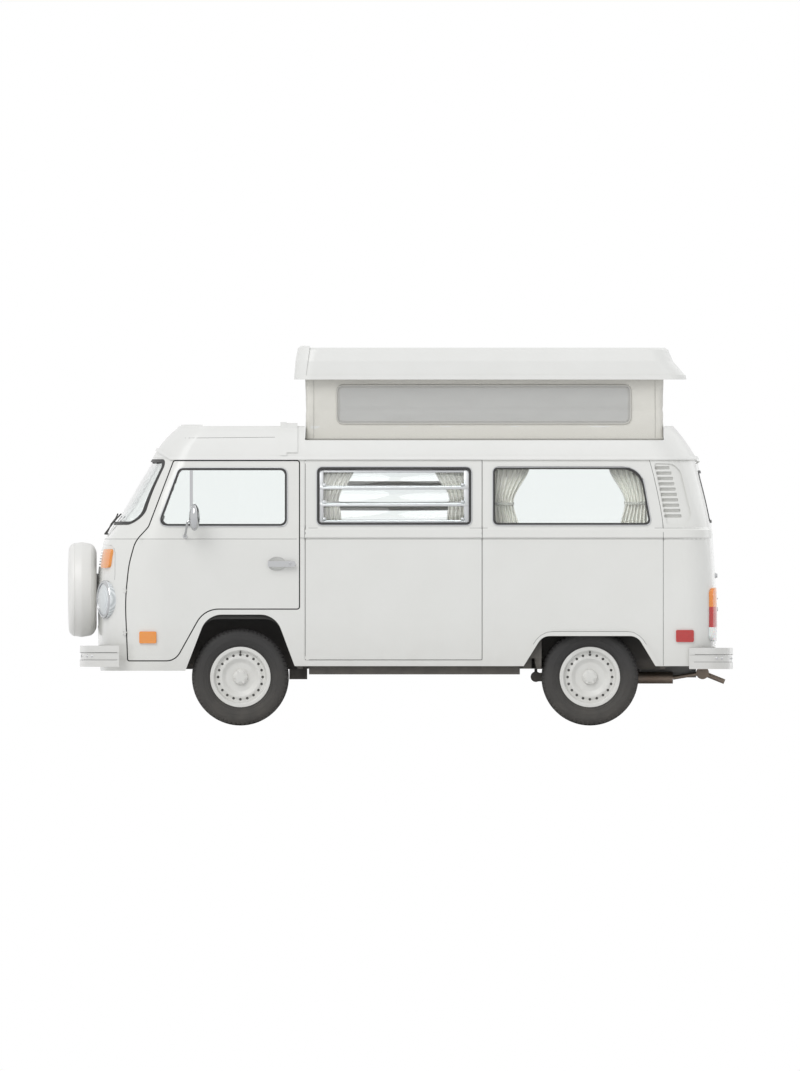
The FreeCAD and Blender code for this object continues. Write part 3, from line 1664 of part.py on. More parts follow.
def front_axle():
    """Twin cross tubes with trailing arms to the kingpins, on two mounts."""
    pieces = []
    bores = []
    up = Vec(0, 0, kingpin_eye_half)
    for z in axle_tube_z:
        ends = Vec(axle_tube_x, -axle_tube_half, z), Vec(axle_tube_x, axle_tube_half, z)
        pieces.append(rod(*ends, axle_tube_radius))
        for side in SIDES:
            root = Vec(axle_tube_x, side * (axle_tube_half - axle_tube_radius * 0.7), z)
            eye = Vec(front_axle_x, side * kingpin_y, z)
            pieces.append(rod(root, eye, arm_radius))
            pieces.append(rod(eye - up, eye + up, kingpin_eye_radius))
            bores.append(rod(eye - up * 2, eye + up * 2, kingpin_radius + running_gap))
    for side in SIDES:
        mount_x = around(axle_tube_x, axle_mount_width)
        mount_y = around(side * rail_y, axle_mount_width)
        pieces.append(box(mount_x, mount_y, (axle_tube_z[0], cab_rail_z[0] - seat_gap)))
    return joined(pieces).cut(bores)


def knuckle(side):
    """A steering knuckle: kingpin barrel between the arms, and a stub axle."""
    centre = Vec(front_axle_x, side * kingpin_y, axle_z)
    low, high = axle_tube_z
    clear = kingpin_eye_half + kingpin_thrust_gap

    def at_z(z):
        return Vec(centre.x, centre.y, z)

    barrel = rod(at_z(low + clear), at_z(high - clear), kingpin_eye_radius)
    pin = rod(at_z(low - clear), at_z(high + clear), kingpin_radius)
    stub = rod(centre, Vec(centre.x, side * (wheel_y + stub_reach), centre.z), stub_radius)
    arm_end = centre + Vec(steering_arm_length, -side * stub_radius, 0)
    return joined([barrel, pin, stub, rod(centre, arm_end, steering_arm_radius)])


def rear_axle():
    """Gearbox, half shafts and trailing arms on a cross tube."""
    reach = wheel_y + stub_reach
    shaft = rod(Vec(rear_axle_x, -reach, axle_z), Vec(rear_axle_x, reach, axle_z), half_shaft_radius)
    tube_end = Vec(0, rear_arm_y[1], 0)
    tube_middle = Vec(rear_tube_x, 0, rear_tube_z)
    tube = rod(tube_middle - tube_end, tube_middle + tube_end, rear_tube_radius)
    gearbox = box(gearbox_x, (-gearbox_half, gearbox_half), span(gearbox_bottom_z, gearbox_height))
    pieces = [gearbox, shaft, tube]
    arm_x = (rear_tube_x, rear_axle_x + rear_arm_half_height)
    arm_z = (axle_z - rear_arm_half_height, axle_z + rear_arm_half_height)
    mount_z = (rear_tube_z, living_rail_z[0] - seat_gap)
    for side in SIDES:
        pieces.append(box(arm_x, across(side, *rear_arm_y), arm_z))
        mount_y = around(side * rail_y, rail_width)
        pieces.append(box(around(rear_tube_x, rear_mount_length), mount_y, mount_z))
    spine_x = (rear_tube_x, gearbox_x[0] + rear_arm_half_height)
    spine_z = (rear_tube_z - rear_tube_radius / 2, rear_tube_z + rear_tube_radius / 2)
    return joined(pieces + [box(spine_x, (-spine_half, spine_half), spine_z)])


def engine():
    """The engine, as one plain block."""
    return box(engine_x, (-engine_half, engine_half), span(engine_bottom_z, engine_height))


silencer_z = 362.0
silencer_radius = 44.0
silencer_half = 362.0
heater_tube_radius = 40.0
heater_tube_length = 244.0
heater_tube_lead = 326.0
heater_tube_z = 328.0
exhaust_pipe_radius = 14.0
exhaust_clear = 5.0
tailpipe_radius = 17.0
tailpipe_y = 300.0
tailpipe_length = 151.0
tailpipe_drop = 61.0
silencer_x = engine_x[1] + silencer_radius + seat_gap


def exhaust():
    """Heater tubes beside the engine, the silencer across the tail and its pipe."""
    ends = Vec(silencer_x, -silencer_half, silencer_z), Vec(silencer_x, silencer_half, silencer_z)
    outlet = Vec(silencer_x, -tailpipe_y, silencer_z)
    drop = Vec(tailpipe_length, 0, -tailpipe_drop)
    pieces = [rod(*ends, silencer_radius), rod(outlet, outlet + drop, tailpipe_radius)]
    for side in SIDES:
        y = side * (engine_half + heater_tube_radius + exhaust_clear)
        front = Vec(rear_axle_x + heater_tube_lead, y, heater_tube_z)
        back = front + Vec(heater_tube_length, 0, 0)
        pieces.append(rod(front, back, heater_tube_radius))
        pieces.append(rod(back, Vec(silencer_x, y, silencer_z), exhaust_pipe_radius))
    return joined(pieces)


# Wheels, turned about an axis that points outwards from the vehicle

rim_half_width = 76.0
rim_wall = 7.0
rim_flange_height = 28.0
rim_flange_thickness = 6.0
disc_thickness = 8.0
disc_holes = 20
disc_hole_radius = 9.0
disc_hole_circle = 153.0
hub_cap_radius = 54.0
hub_cap_height = 26.0
hub_cap_lobes = 6
hub_cap_lobe_radius = 9.0
drum_radius = 118.0
drum_back = 25.0
disc_offset = 38.0
disc_crown = 17.0
bead_gap = 1.0
bead_width = 20.0
tyre_wall = 14.0
flange_radius = rim_radius + rim_flange_height
bead_radius = rim_radius + rim_wall
flange_inside = rim_half_width - rim_flange_thickness
tyre_radius = tyre_diameter / 2
tyre_half = tyre_width / 2
# The tyre's outer and inner sections above its bead: height between the bead and the
# tread, then half width, each with its rounding in the tyre's half width
tyre_section_shares = [
    (0.190, 0.910, 0.11),
    (0.520, 1.016, 0.60),
    (0.820, 0.950, 0.32),
    (0.960, 0.780, 0.13),
    (1.000, 0.630, 0.13),
]


def wheel_axis(x, side, offset=0):
    """A point on a wheel's axle, offset outwards from the wheel's middle plane."""
    return Vec(x, side * (wheel_y + offset), axle_z)


def wheel(x, side):
    """A steel wheel with brake drum and hub cap, bored to run on its axle."""
    outwards = Vec(0, side, 0)
    well = rim_half_width * 0.73
    outer_face = [
        (flange_radius, rim_half_width, rim_flange_thickness / 2),
        (flange_radius, flange_inside, 0),
        (bead_radius, flange_inside - rim_flange_thickness / 3, rim_flange_thickness / 2),
        (rim_radius, well, rim_wall),
    ]
    inner_face = [
        (rim_radius - rim_wall, well, rim_wall),
        (rim_radius + rim_wall / 2, rim_half_width - rim_wall / 7, rim_wall),
    ]
    far_outer = [(r, -w, rounding) for r, w, rounding in reversed(outer_face)]
    far_inner = [(r, -w, rounding) for r, w, rounding in reversed(inner_face)]
    rim = turned(outer_face + far_outer + far_inner + inner_face, wheel_axis(x, side), outwards, Vec(0, 0, 1))
    cap_top = disc_offset - disc_thickness / 2 + hub_cap_height
    crown = disc_offset + disc_crown
    edge = disc_offset + disc_thickness
    weld = rim_radius - rim_wall + bead_gap
    disc_profile = [
        (0, cap_top, 0),
        (hub_cap_radius * 0.60, cap_top, hub_cap_radius * 0.5),
        (hub_cap_radius * 0.94, cap_top - hub_cap_height * 0.4, hub_cap_radius * 0.2),
        (hub_cap_radius, disc_offset - disc_thickness / 2, 0),
        (drum_radius * 0.85, disc_offset - disc_thickness / 4, drum_radius * 0.17),
        (drum_radius * 1.08, crown, drum_radius * 0.1),
        (drum_radius * 1.19, crown, drum_radius * 0.08),
        (disc_hole_circle + disc_thickness * 0.6, edge, disc_thickness),
        (weld, edge, 0),
        (weld, disc_offset, 0),
        (disc_hole_circle + disc_thickness * 0.1, disc_offset, disc_thickness),
        (drum_radius * 1.17, crown - disc_thickness, disc_thickness),
        (drum_radius * 1.11, crown - disc_thickness, disc_thickness),
        (drum_radius, disc_offset - disc_thickness / 8, 0),
        (drum_radius, -drum_back, drum_radius * 0.08),
        (0, -drum_back, 0),
    ]
    disc = turned(disc_profile, wheel_axis(x, side), outwards, Vec(0, 0, 1))
    bore_end = stub_reach + kingpin_thrust_gap
    bore = rod(wheel_axis(x, side, -overrun), wheel_axis(x, side, bore_end), stub_radius + running_gap)
    holes = []
    for index in range(disc_holes):
        angle = 2 * math.pi * index / disc_holes
        spoke = Vec(math.cos(angle), 0, math.sin(angle)) * disc_hole_circle
        ends = wheel_axis(x, side, disc_offset / 2) + spoke, wheel_axis(x, side, edge + overrun) + spoke
        holes.append(rod(*ends, disc_hole_radius))
    lobes = []
    for index in range(hub_cap_lobes):
        angle = 2 * math.pi * index / hub_cap_lobes
        spoke = Vec(math.cos(angle), 0, math.sin(angle)) * hub_cap_radius * 0.72
        ends = wheel_axis(x, side, disc_offset) + spoke, wheel_axis(x, side, cap_top) + spoke
        lobes.append(rod(*ends, hub_cap_lobe_radius))
    return joined([rim, disc] + lobes).cut([bore] + holes)


def tyre(x, side):
    """A hollow tyre seated between the rim's flanges."""
    height = tyre_radius - bead_radius
    outer = [
        (bead_radius + bead_gap, flange_inside - bead_width - bead_gap, 0),
        (bead_radius + bead_gap, flange_inside - bead_gap * 3, 0),
        (flange_radius + bead_gap, flange_inside - bead_gap, 0),
    ]
    inner = [
        (bead_radius + bead_width, flange_inside - bead_width - bead_gap, 0),
    ]
    for up, wide, rounding in tyre_section_shares:
        outer.append((bead_radius + up * height, wide * tyre_half, rounding * tyre_half))
    for up, wide, rounding in tyre_section_shares[1:4]:
        inner.append((bead_radius + up * height - tyre_wall, wide * tyre_half - tyre_wall, rounding * tyre_half / 3))
    far_outer = [(r, -w, rounding) for r, w, rounding in reversed(outer)]
    far_inner = [(r, -w, rounding) for r, w, rounding in inner]
    section = outer + far_outer + far_inner + inner[::-1]
    return turned(section, wheel_axis(x, side), Vec(0, side, 0), Vec(0, 0, 1))


# Interior

dash_half = 700.0
dash_length = 150.0
dash_front_margin = 92.0
dash_bottom_drop = 131.0
dash_height = 195.0
dash_outline_shares = [
    (0.000, 0.000, 0.00),
    (0.685, 0.000, 0.10),
    (1.000, 0.359, 0.10),
    (1.000, 0.821, 0.15),
    (0.737, 1.000, 0.10),
    (0.000, 1.000, 0.00),
]
steering_y = 400.0
steering_lead = 541.0
steering_rise = 485.0
steering_slope = math.radians(25.0)
steering_radius = 195.0
steering_tube = 12.0
steering_hub_radius = 50.0
steering_hub_height = 42.0
steering_spoke_radius = 8.0
column_radius = 20.0
column_clear = 6.0
seat_y = 400.0
seat_half = 235.0
seat_front_lead = 381.0
seat_length = 470.0
seat_height = 167.0
seat_back_length = 245.0
seat_back_height = 490.0
seat_back_inset = 15.0
seat_back_outline_shares = [
    (0.00, 0.00, 0.00),
    (0.49, 0.00, 0.08),
    (1.00, 0.96, 0.12),
    (0.61, 1.00, 0.16),
]
seat_corner = 30.0

bench_length = 346.0
bench_half = 690.0
bench_height = 412.0
bench_back_length = 116.0
bench_back_height = 335.0
mattress_length = 1020.0
mattress_half = 700.0
mattress_thickness = 107.0
kitchen_length = 1060.0
kitchen_height = 770.0
kitchen_top_thickness = 28.0
kitchen_top_lip = 6.0
kitchen_depth = 390.0
kitchen_top_lip_y = 15.0
kitchen_y = 790.0
kitchen_lead = 96.0

curtain_thickness = 14.0
curtain_y = 700.0
curtain_rise = 24.0
curtain_header = 16.0
curtain_drop = 430.0
curtain_tie_drop = 250.0
curtain_width = 190.0
curtain_tied = 75.0
dash_x = nose_x + dash_front_margin
dash_z = belt_z - dash_bottom_drop
steering_axis = Vec(math.sin(steering_slope), 0, math.cos(steering_slope))
steering_centre = Vec(front_axle_x - steering_lead, -steering_y, seat_deck_z + steering_rise)


def steering_foot():
    """Where the steering column's middle line meets the cab floor."""
    drop = steering_centre.z - cab_floor_z - floor_top
    return steering_centre - steering_axis * (drop / steering_axis.z)


def dashboard():
    """The dash across the cab, bored for the steering column."""
    corners = [
        (dash_x + along * dash_length, dash_z + up * dash_height, rounding * dash_height)
        for along, up, rounding in dash_outline_shares
    ]
    body = side_prism(corners, -dash_half, dash_half)
    body = body.cut(rod(steering_foot(), steering_centre, column_radius + column_clear))
    inset = wall_thickness + seat_gap
    inside = joined([body.common(envelope(zone, inset)) for zone in (lower, upper)])
    for zone in (lower, upper):
        inside = inside.cut(door_swing(zone))
    return inside


def steering_wheel():
    """The steering wheel, its spokes and column."""
    ring = Part.makeTorus(steering_radius, steering_tube, steering_centre, steering_axis)
    foot = steering_foot()
    column = rod(foot - steering_axis * overrun, steering_centre, column_radius)
    column = column.cut(region(-far_x, far_x, 0, foot.z + seat_gap))
    hub_rise = steering_axis * (steering_hub_height / 2)
    hub = rod(steering_centre - hub_rise, steering_centre + hub_rise, steering_hub_radius)
    towards_driver = steering_axis.cross(Vec(0, 1, 0))
    spokes = [
        rod(steering_centre, steering_centre + way * steering_radius, steering_spoke_radius)
        for way in (Vec(0, 1, 0), Vec(0, -1, 0), towards_driver)
    ]
    return joined([ring, column, hub] + spokes)


def cab_seats():
    """Driver's and passenger's seats."""
    front = front_axle_x - seat_front_lead
    low = seat_deck_z + floor_top + seat_gap
    back_x = front + seat_length - seat_back_length * 0.5
    back_z = low + seat_height - bumper_weld
    base = [
        (front, low, 0),
        (front + seat_length, low, 0),
        (front + seat_length, low + seat_height, seat_corner),
        (front, low + seat_height, seat_corner),
    ]
    back = [
        (back_x + along * seat_back_length, back_z + up * seat_back_height, rounding * seat_back_length)
        for along, up, rounding in seat_back_outline_shares
    ]
    seats = []
    for side in SIDES:
        near, far = around(side * seat_y, 2 * seat_half)
        cushion = side_prism(base, near, far)
        seats.append(joined([cushion, side_prism(back, near + seat_back_inset, far - seat_back_inset)]))
    return group(seats)


def bed():
    """The rear bench and the mattress on the rear deck."""
    bench_rear = rear_deck_x[0] - floor_top - seat_gap
    bench_x = (bench_rear - bench_length, bench_rear)
    back_x = (bench_rear - bench_back_length, bench_rear)
    bench_z = span(living_floor_z + floor_top + seat_gap, bench_height)
    back_z = span(bench_z[1] - bumper_weld, bench_back_height)
    wide = (-bench_half, bench_half)
    bench = joined([box(bench_x, wide, bench_z), box(back_x, wide, back_z)])
    bed_z = span(rear_deck_z + floor_top + seat_gap, mattress_thickness)
    mattress = box(span(bench_rear + seat_gap, mattress_length), (-mattress_half, mattress_half), bed_z)
    return group([fitted(bench), fitted(mattress)])


def kitchen_unit():
    """The cupboard and worktop under the louvred window."""
    along = span(side_door_front_x + kitchen_lead, kitchen_length)
    tall = span(living_floor_z + floor_top + seat_gap, kitchen_height)
    cupboard = box(along, (-kitchen_y, kitchen_depth - kitchen_y), tall)
    top_x = (along[0] - kitchen_top_lip, along[1] + kitchen_top_lip)
    top_y = (-kitchen_y, kitchen_depth + kitchen_top_lip_y - kitchen_y)
    return fitted(joined([cupboard, box(top_x, top_y, span(tall[1], kitchen_top_thickness))]))


def curtain(edge_x, inwards):
    """A tied-back curtain at one end of a window, with its header on the wall."""
    wide = inwards * curtain_width
    tied = inwards * curtain_tied
    top = window_top_z + curtain_rise
    foot = top - curtain_drop
    corners = [
        (edge_x, foot, 0),
        (edge_x + wide * 0.8, foot, curtain_header),
        (edge_x + tied, top - curtain_tie_drop, curtain_tied),
        (edge_x + wide, top, 0),
        (edge_x, top, 0),
    ]
    drape = side_prism(corners, -curtain_y - curtain_thickness, -curtain_y)
    along = tuple(sorted((edge_x, edge_x + wide)))
    header = box(along, (-far_y, -curtain_y), (top - curtain_header, top))
    return joined([drape, header.common(envelope(upper, wall_thickness + seat_gap))])


def curtains():
    """Curtains at the ends of all four living-space windows."""
    ends = [
        (middle_window_x[0] - seal_width, 1),
        (middle_window_x[1] + seal_width, -1),
        (rear_window_front_x - seal_width, 1),
        (rear_window_bottom_x - seal_width, -1),
    ]
    left = [curtain(x, inwards) for x, inwards in ends]
    return group(left + [mirrored(piece) for piece in left])


# The nodes, one file each

front = front_shell()
side = side_panel()
left_door = cab_door()
left_fittings = door_fittings()
left_marker = front_marker()
fuel_hinge_fixed, fuel_hinge_moving = fuel_hinge()
hinges_on_nose = door_hinges_fixed + [mirrored(half) for half in door_hinges_fixed]

nodes = {
    "floor_pan": floor_pan(),
    "underframe": underframe(),
    "nose_panel": joined([nose_panel(front)] + hinges_on_nose),
    "windscreen_frame": windscreen_frame(front),
    "left_side": left_side(side),
    "right_side": joined([right_side(side), mirrored(fuel_hinge_fixed)]),
    "sliding_door": sliding_door(),
    "rear_body": rear_body(),
    "roof_base": roof_base(),
    "roof_posts": roof_posts(),
    "roof_cap": roof_cap(),
    "cap_posts": cap_posts(),
    "tent": tent(),
    "fixed_glass": fixed_glass(),
    "window_seals": window_seals(),
    "louvre_window": louvre_window(),
    "cab_door_left": left_door,
    "cab_door_left_glass": cab_pane,
    "cab_door_left_seal": cab_seal,
    "cab_door_left_fittings": left_fittings,
    "cab_door_left_marker": left_marker,
    "cab_door_right": mirrored(left_door),
    "cab_door_right_glass": mirrored(cab_pane),
    "cab_door_right_seal": mirrored(cab_seal),
    "cab_door_right_fittings": mirrored(left_fittings),
    "cab_door_right_marker": mirrored(left_marker),
    "tailgate": tailgate(),
    "tailgate_glass": pane(tail_prism, tail_window_corners),
    "tailgate_seal": seal_between(tail_prism, tail_window_corners),
    "engine_lid": engine_lid(),
    "fuel_flap": mirrored(joined([fuel_flap(), fuel_hinge_moving])),
    "front_bumper": bumper(
        front_bumper_half,
        front_bumper_bottom_z,
        (-far_x, front_bumper_end_x),
        (front_bumper_x, nose_x + overrun),
    ),
    "rear_bumper": bumper(
        rear_bumper_half,
        rear_bumper_bottom_z,
        (rear_bumper_end_x, far_x),
        (tail_x - overrun, rear_end_x),
    ),
    "spare_cover": spare_cover(),
    "headlamps": headlamps(),
    "signal_lamps": signal_lamps(),
    "wipers": wipers(),
    "front_axle": front_axle(),
    "knuckle_left": knuckle(LEFT),
    "knuckle_right": knuckle(RIGHT),
    "rear_axle": rear_axle(),
    "engine": engine(),
    "exhaust": exhaust(),
    "dashboard": dashboard(),
    "steering_wheel": steering_wheel(),
    "cab_seats": cab_seats(),
    "bed": bed(),
    "kitchen_unit": kitchen_unit(),
    "curtains": curtains(),
}
for end, axle_x in (("front", front_axle_x), ("rear", rear_axle_x)):
    for name, where in (("left", LEFT), ("right", RIGHT)):
        nodes["wheel_" + end + "_" + name] = wheel(axle_x, where)
        nodes["tyre_" + end + "_" + name] = tyre(axle_x, where)

os.makedirs("parts", exist_ok=True)
for name, shape in nodes.items():
    shape.exportStep("parts/" + name + ".step")
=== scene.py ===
# %% [markdown]
# # A pop-top camper van, dressed around its CAD parts
# The pressed panels, doors, glass, wheels and running gear come from the CAD
# model, which is the fixed frame of this scene. What is added here is what a
# CAD model leaves out: finishes, cloth, padding, tread, lenses and small trim,
# and thin dark beads of painted shade along the body's creases.

import json
import math

import bmesh
import bpy
from mathutils import Matrix, Vector, noise
from mathutils.bvhtree import BVHTree


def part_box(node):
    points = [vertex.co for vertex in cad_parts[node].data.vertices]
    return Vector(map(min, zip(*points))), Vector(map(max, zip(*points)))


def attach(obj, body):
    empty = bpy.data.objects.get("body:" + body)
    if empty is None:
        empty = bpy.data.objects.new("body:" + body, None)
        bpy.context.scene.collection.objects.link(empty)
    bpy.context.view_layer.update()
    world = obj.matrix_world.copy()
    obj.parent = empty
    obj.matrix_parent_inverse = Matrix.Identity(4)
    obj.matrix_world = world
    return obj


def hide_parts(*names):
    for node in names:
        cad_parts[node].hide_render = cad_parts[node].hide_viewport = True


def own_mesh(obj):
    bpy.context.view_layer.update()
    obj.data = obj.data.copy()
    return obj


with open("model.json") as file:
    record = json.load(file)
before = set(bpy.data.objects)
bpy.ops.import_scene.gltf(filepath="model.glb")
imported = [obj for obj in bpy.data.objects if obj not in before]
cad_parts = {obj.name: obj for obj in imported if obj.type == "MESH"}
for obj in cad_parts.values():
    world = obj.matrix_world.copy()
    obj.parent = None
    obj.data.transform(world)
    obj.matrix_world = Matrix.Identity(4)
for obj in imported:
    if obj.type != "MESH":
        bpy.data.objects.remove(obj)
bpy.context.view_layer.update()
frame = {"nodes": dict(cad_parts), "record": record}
nodes = frame["nodes"]


# %% [markdown]
# ## Building finishes from nodes
# Every finish is one Principled surface. Effects that several finishes share,
# such as a fine relief or road dust, are node groups with named inputs, built
# once. A helper that writes "socket = value" keeps the node work readable.


# %% Helpers for node trees
def wire(tree, source, target):
    """Joins an output socket to an input socket."""
    tree.links.new(source, target)


def wires(tree, *rows):
    """Joins sockets by rows of (node, output, node, input)."""
    for source, output, target, entry in rows:
        wire(tree, source.outputs[output], target.inputs[entry])


def add_node(tree, kind, **values):
    """A node with its properties and input values set by name."""
    node = tree.nodes.new(kind)
    for name, value in values.items():
        if hasattr(node, name):
            setattr(node, name, value)
        else:
            node.inputs[name.replace("_", " ")].default_value = value
    return node


def on_object(tree, kind, **values):
    """A node whose Vector input reads Object coordinates."""
    node = add_node(tree, kind, **values)
    place = tree.nodes.new("ShaderNodeTexCoord")
    wire(tree, place.outputs["Object"], node.inputs["Vector"])
    return node


def new_group(name, outputs, **inputs):
    """A shader node group with float inputs; an output named Normal is a vector."""
    tree = bpy.data.node_groups.new(name, "ShaderNodeTree")
    for label, value in inputs.items():
        socket = tree.interface.new_socket(
            name=label, in_out="INPUT", socket_type="NodeSocketFloat"
        )
        socket.default_value = value
    for label in outputs:
        kind = "NodeSocketVector" if label == "Normal" else "NodeSocketFloat"
        tree.interface.new_socket(name=label, in_out="OUTPUT", socket_type=kind)
    return tree, tree.nodes.new("NodeGroupInput"), tree.nodes.new("NodeGroupOutput")


# %% [markdown]
# Sprayed paint, moulded resin and rubber are never optically flat: they have a
# fine skin that breaks up a highlight. A noise height through a Bump node gives
# it, and the same noise spreads the roughness a little.


# %% Group: fine relief of a surface
relief, relief_in, relief_out = new_group(
    "surface relief", ("Normal", "Grain"), Scale=300.0, Depth=0.0002
)
relief_noise = on_object(relief, "ShaderNodeTexNoise", Detail=3.0, Roughness=0.55)
relief_bump = add_node(relief, "ShaderNodeBump", Strength=1.0)
wires(
    relief,
    (relief_in, "Scale", relief_noise, "Scale"),
    (relief_noise, "Fac", relief_bump, "Height"),
    (relief_in, "Depth", relief_bump, "Distance"),
    (relief_bump, "Normal", relief_out, "Normal"),
    (relief_noise, "Fac", relief_out, "Grain"),
)

# %% [markdown]
# Dust gathers low on a vehicle. The mask falls off with height above the
# ground, which is the Z of Object coordinates, and a noise makes it patchy.

# %% Group: road dust
dust, dust_in, dust_out = new_group("road dust", ("Mask",), Reach=0.7, Amount=0.3)
dust_split = on_object(dust, "ShaderNodeSeparateXYZ")
dust_height = add_node(dust, "ShaderNodeMath", operation="DIVIDE")
dust_fall = add_node(dust, "ShaderNodeMath", operation="SUBTRACT", use_clamp=True)
dust_fall.inputs[0].default_value = 1.0
dust_noise = on_object(dust, "ShaderNodeTexNoise", Scale=9.0, Detail=5.0)
dust_patch = add_node(dust, "ShaderNodeMath", operation="MULTIPLY", use_clamp=True)
dust_level = add_node(dust, "ShaderNodeMath", operation="MULTIPLY", use_clamp=True)
wires(
    dust,
    (dust_split, "Z", dust_height, 0),
    (dust_in, "Reach", dust_height, 1),
    (dust_height, "Value", dust_fall, 1),
    (dust_fall, "Value", dust_patch, 0),
    (dust_noise, "Fac", dust_patch, 1),
    (dust_patch, "Value", dust_level, 0),
    (dust_in, "Amount", dust_level, 1),
    (dust_level, "Value", dust_out, "Mask"),
)

# %% [markdown]
# Woven cloth shows its threads as two crossing rows of ridges. Two Wave
# textures, one turned by a right angle, are multiplied into one height.

# %% Group: woven cloth
weave, weave_in, weave_out = new_group(
    "woven cloth", ("Normal", "Thread"), Threads=300.0, Depth=0.0003
)
weave_along, weave_up = (
    on_object(weave, "ShaderNodeTexWave", bands_direction=way) for way in ("DIAGONAL", "Z")
)
weave_cross = add_node(weave, "ShaderNodeMath", operation="MULTIPLY")
weave_bump = add_node(weave, "ShaderNodeBump", Strength=1.0)
wires(
    weave,
    (weave_in, "Threads", weave_along, "Scale"),
    (weave_in, "Threads", weave_up, "Scale"),
    (weave_along, "Fac", weave_cross, 0),
    (weave_up, "Fac", weave_cross, 1),
    (weave_cross, "Value", weave_bump, "Height"),
    (weave_in, "Depth", weave_bump, "Distance"),
    (weave_bump, "Normal", weave_out, "Normal"),
    (weave_cross, "Value", weave_out, "Thread"),
)
print("Node groups:", [group.name for group in bpy.data.node_groups])

# %% [markdown]
# ## The finishes
# One function mixes a clean colour with a second one by a mask, and lets the
# mask roughen the surface. All painted, moulded and rubber finishes come from
# it with their own numbers. Values that are the same all over the surface go
# straight onto the Principled node, because the export reads them there.

# %% One function for most finishes
road_dust_colour = (0.42, 0.38, 0.32)


def principled(name, **sockets):
    """A material with one Principled surface and its plain socket values."""
    finish = bpy.data.materials.new(name)
    finish.use_nodes = True
    surface = finish.node_tree.nodes["Principled BSDF"]
    for label, value in sockets.items():
        surface.inputs[label.replace("_", " ")].default_value = value
    return finish, finish.node_tree, surface


def place_group(tree, group, **values):
    """A node group placed in a material with its own values."""
    node = tree.nodes.new("ShaderNodeGroup")
    node.node_tree = group
    for label, value in values.items():
        node.inputs[label].default_value = value
    return node


def mixed(tree, factor, first, second):
    """A colour node that goes from the first colour to the second by a factor."""
    mix = add_node(tree, "ShaderNodeMix", data_type="RGBA")
    for index, value in ((6, first), (7, second)):
        if isinstance(value, bpy.types.NodeSocket):
            wire(tree, value, mix.inputs[index])
        else:
            mix.inputs[index].default_value = (*value, 1.0)
    wire(tree, factor, mix.inputs[0])
    return mix.outputs[2]


def ranged(tree, value, low, high):
    """A value from 0 to 1 spread between low and high."""
    node = add_node(tree, "ShaderNodeMapRange")
    wire(tree, value, node.inputs["Value"])
    node.inputs["To Min"].default_value = low
    node.inputs["To Max"].default_value = high
    return node.outputs["Result"]


def figured(tree, surface, height, depth, rough, *colours):
    """Lets one height drive a surface's relief, roughness and colour."""
    bump = add_node(tree, "ShaderNodeBump", Distance=depth)
    wire(tree, height, bump.inputs["Height"])
    wire(tree, bump.outputs["Normal"], surface.inputs["Normal"])
    wire(tree, ranged(tree, height, *rough), surface.inputs["Roughness"])
    if colours:
        wire(tree, mixed(tree, height, *colours), surface.inputs["Base Color"])


# %% [markdown]
# Paint, resin and rubber share one build-up: a colour with faint blotches, a
# fine relief, and dust low down. It is mixed in nodes, not painted on, so the
# same function serves a bumper and a tyre.


# %% A coated surface
def coated(name, colour, shade, rough, grain, depth, dusty=0.0, reach=0.75, **sockets):
    """A finish of one colour with a slightly uneven tone, fine relief and dust."""
    finish, tree, surface = principled(name, **sockets)
    skin = place_group(tree, relief, Scale=grain, Depth=depth)
    blotch = on_object(tree, "ShaderNodeTexNoise", Scale=3.5, Detail=4.0)
    tone = mixed(tree, blotch.outputs["Fac"], colour, shade)
    roughness = ranged(tree, skin.outputs["Grain"], rough[0], rough[1])
    if dusty:
        grime = place_group(tree, dust, Reach=reach, Amount=dusty)
        tone = mixed(tree, grime.outputs["Mask"], tone, road_dust_colour)
        more = add_node(tree, "ShaderNodeMath", operation="ADD", use_clamp=True)
        wire(tree, roughness, more.inputs[0])
        wire(tree, grime.outputs["Mask"], more.inputs[1])
        roughness = more.outputs["Value"]
    wire(tree, tone, surface.inputs["Base Color"])
    wire(tree, roughness, surface.inputs["Roughness"])
    wire(tree, skin.outputs["Normal"], surface.inputs["Normal"])
    return finish


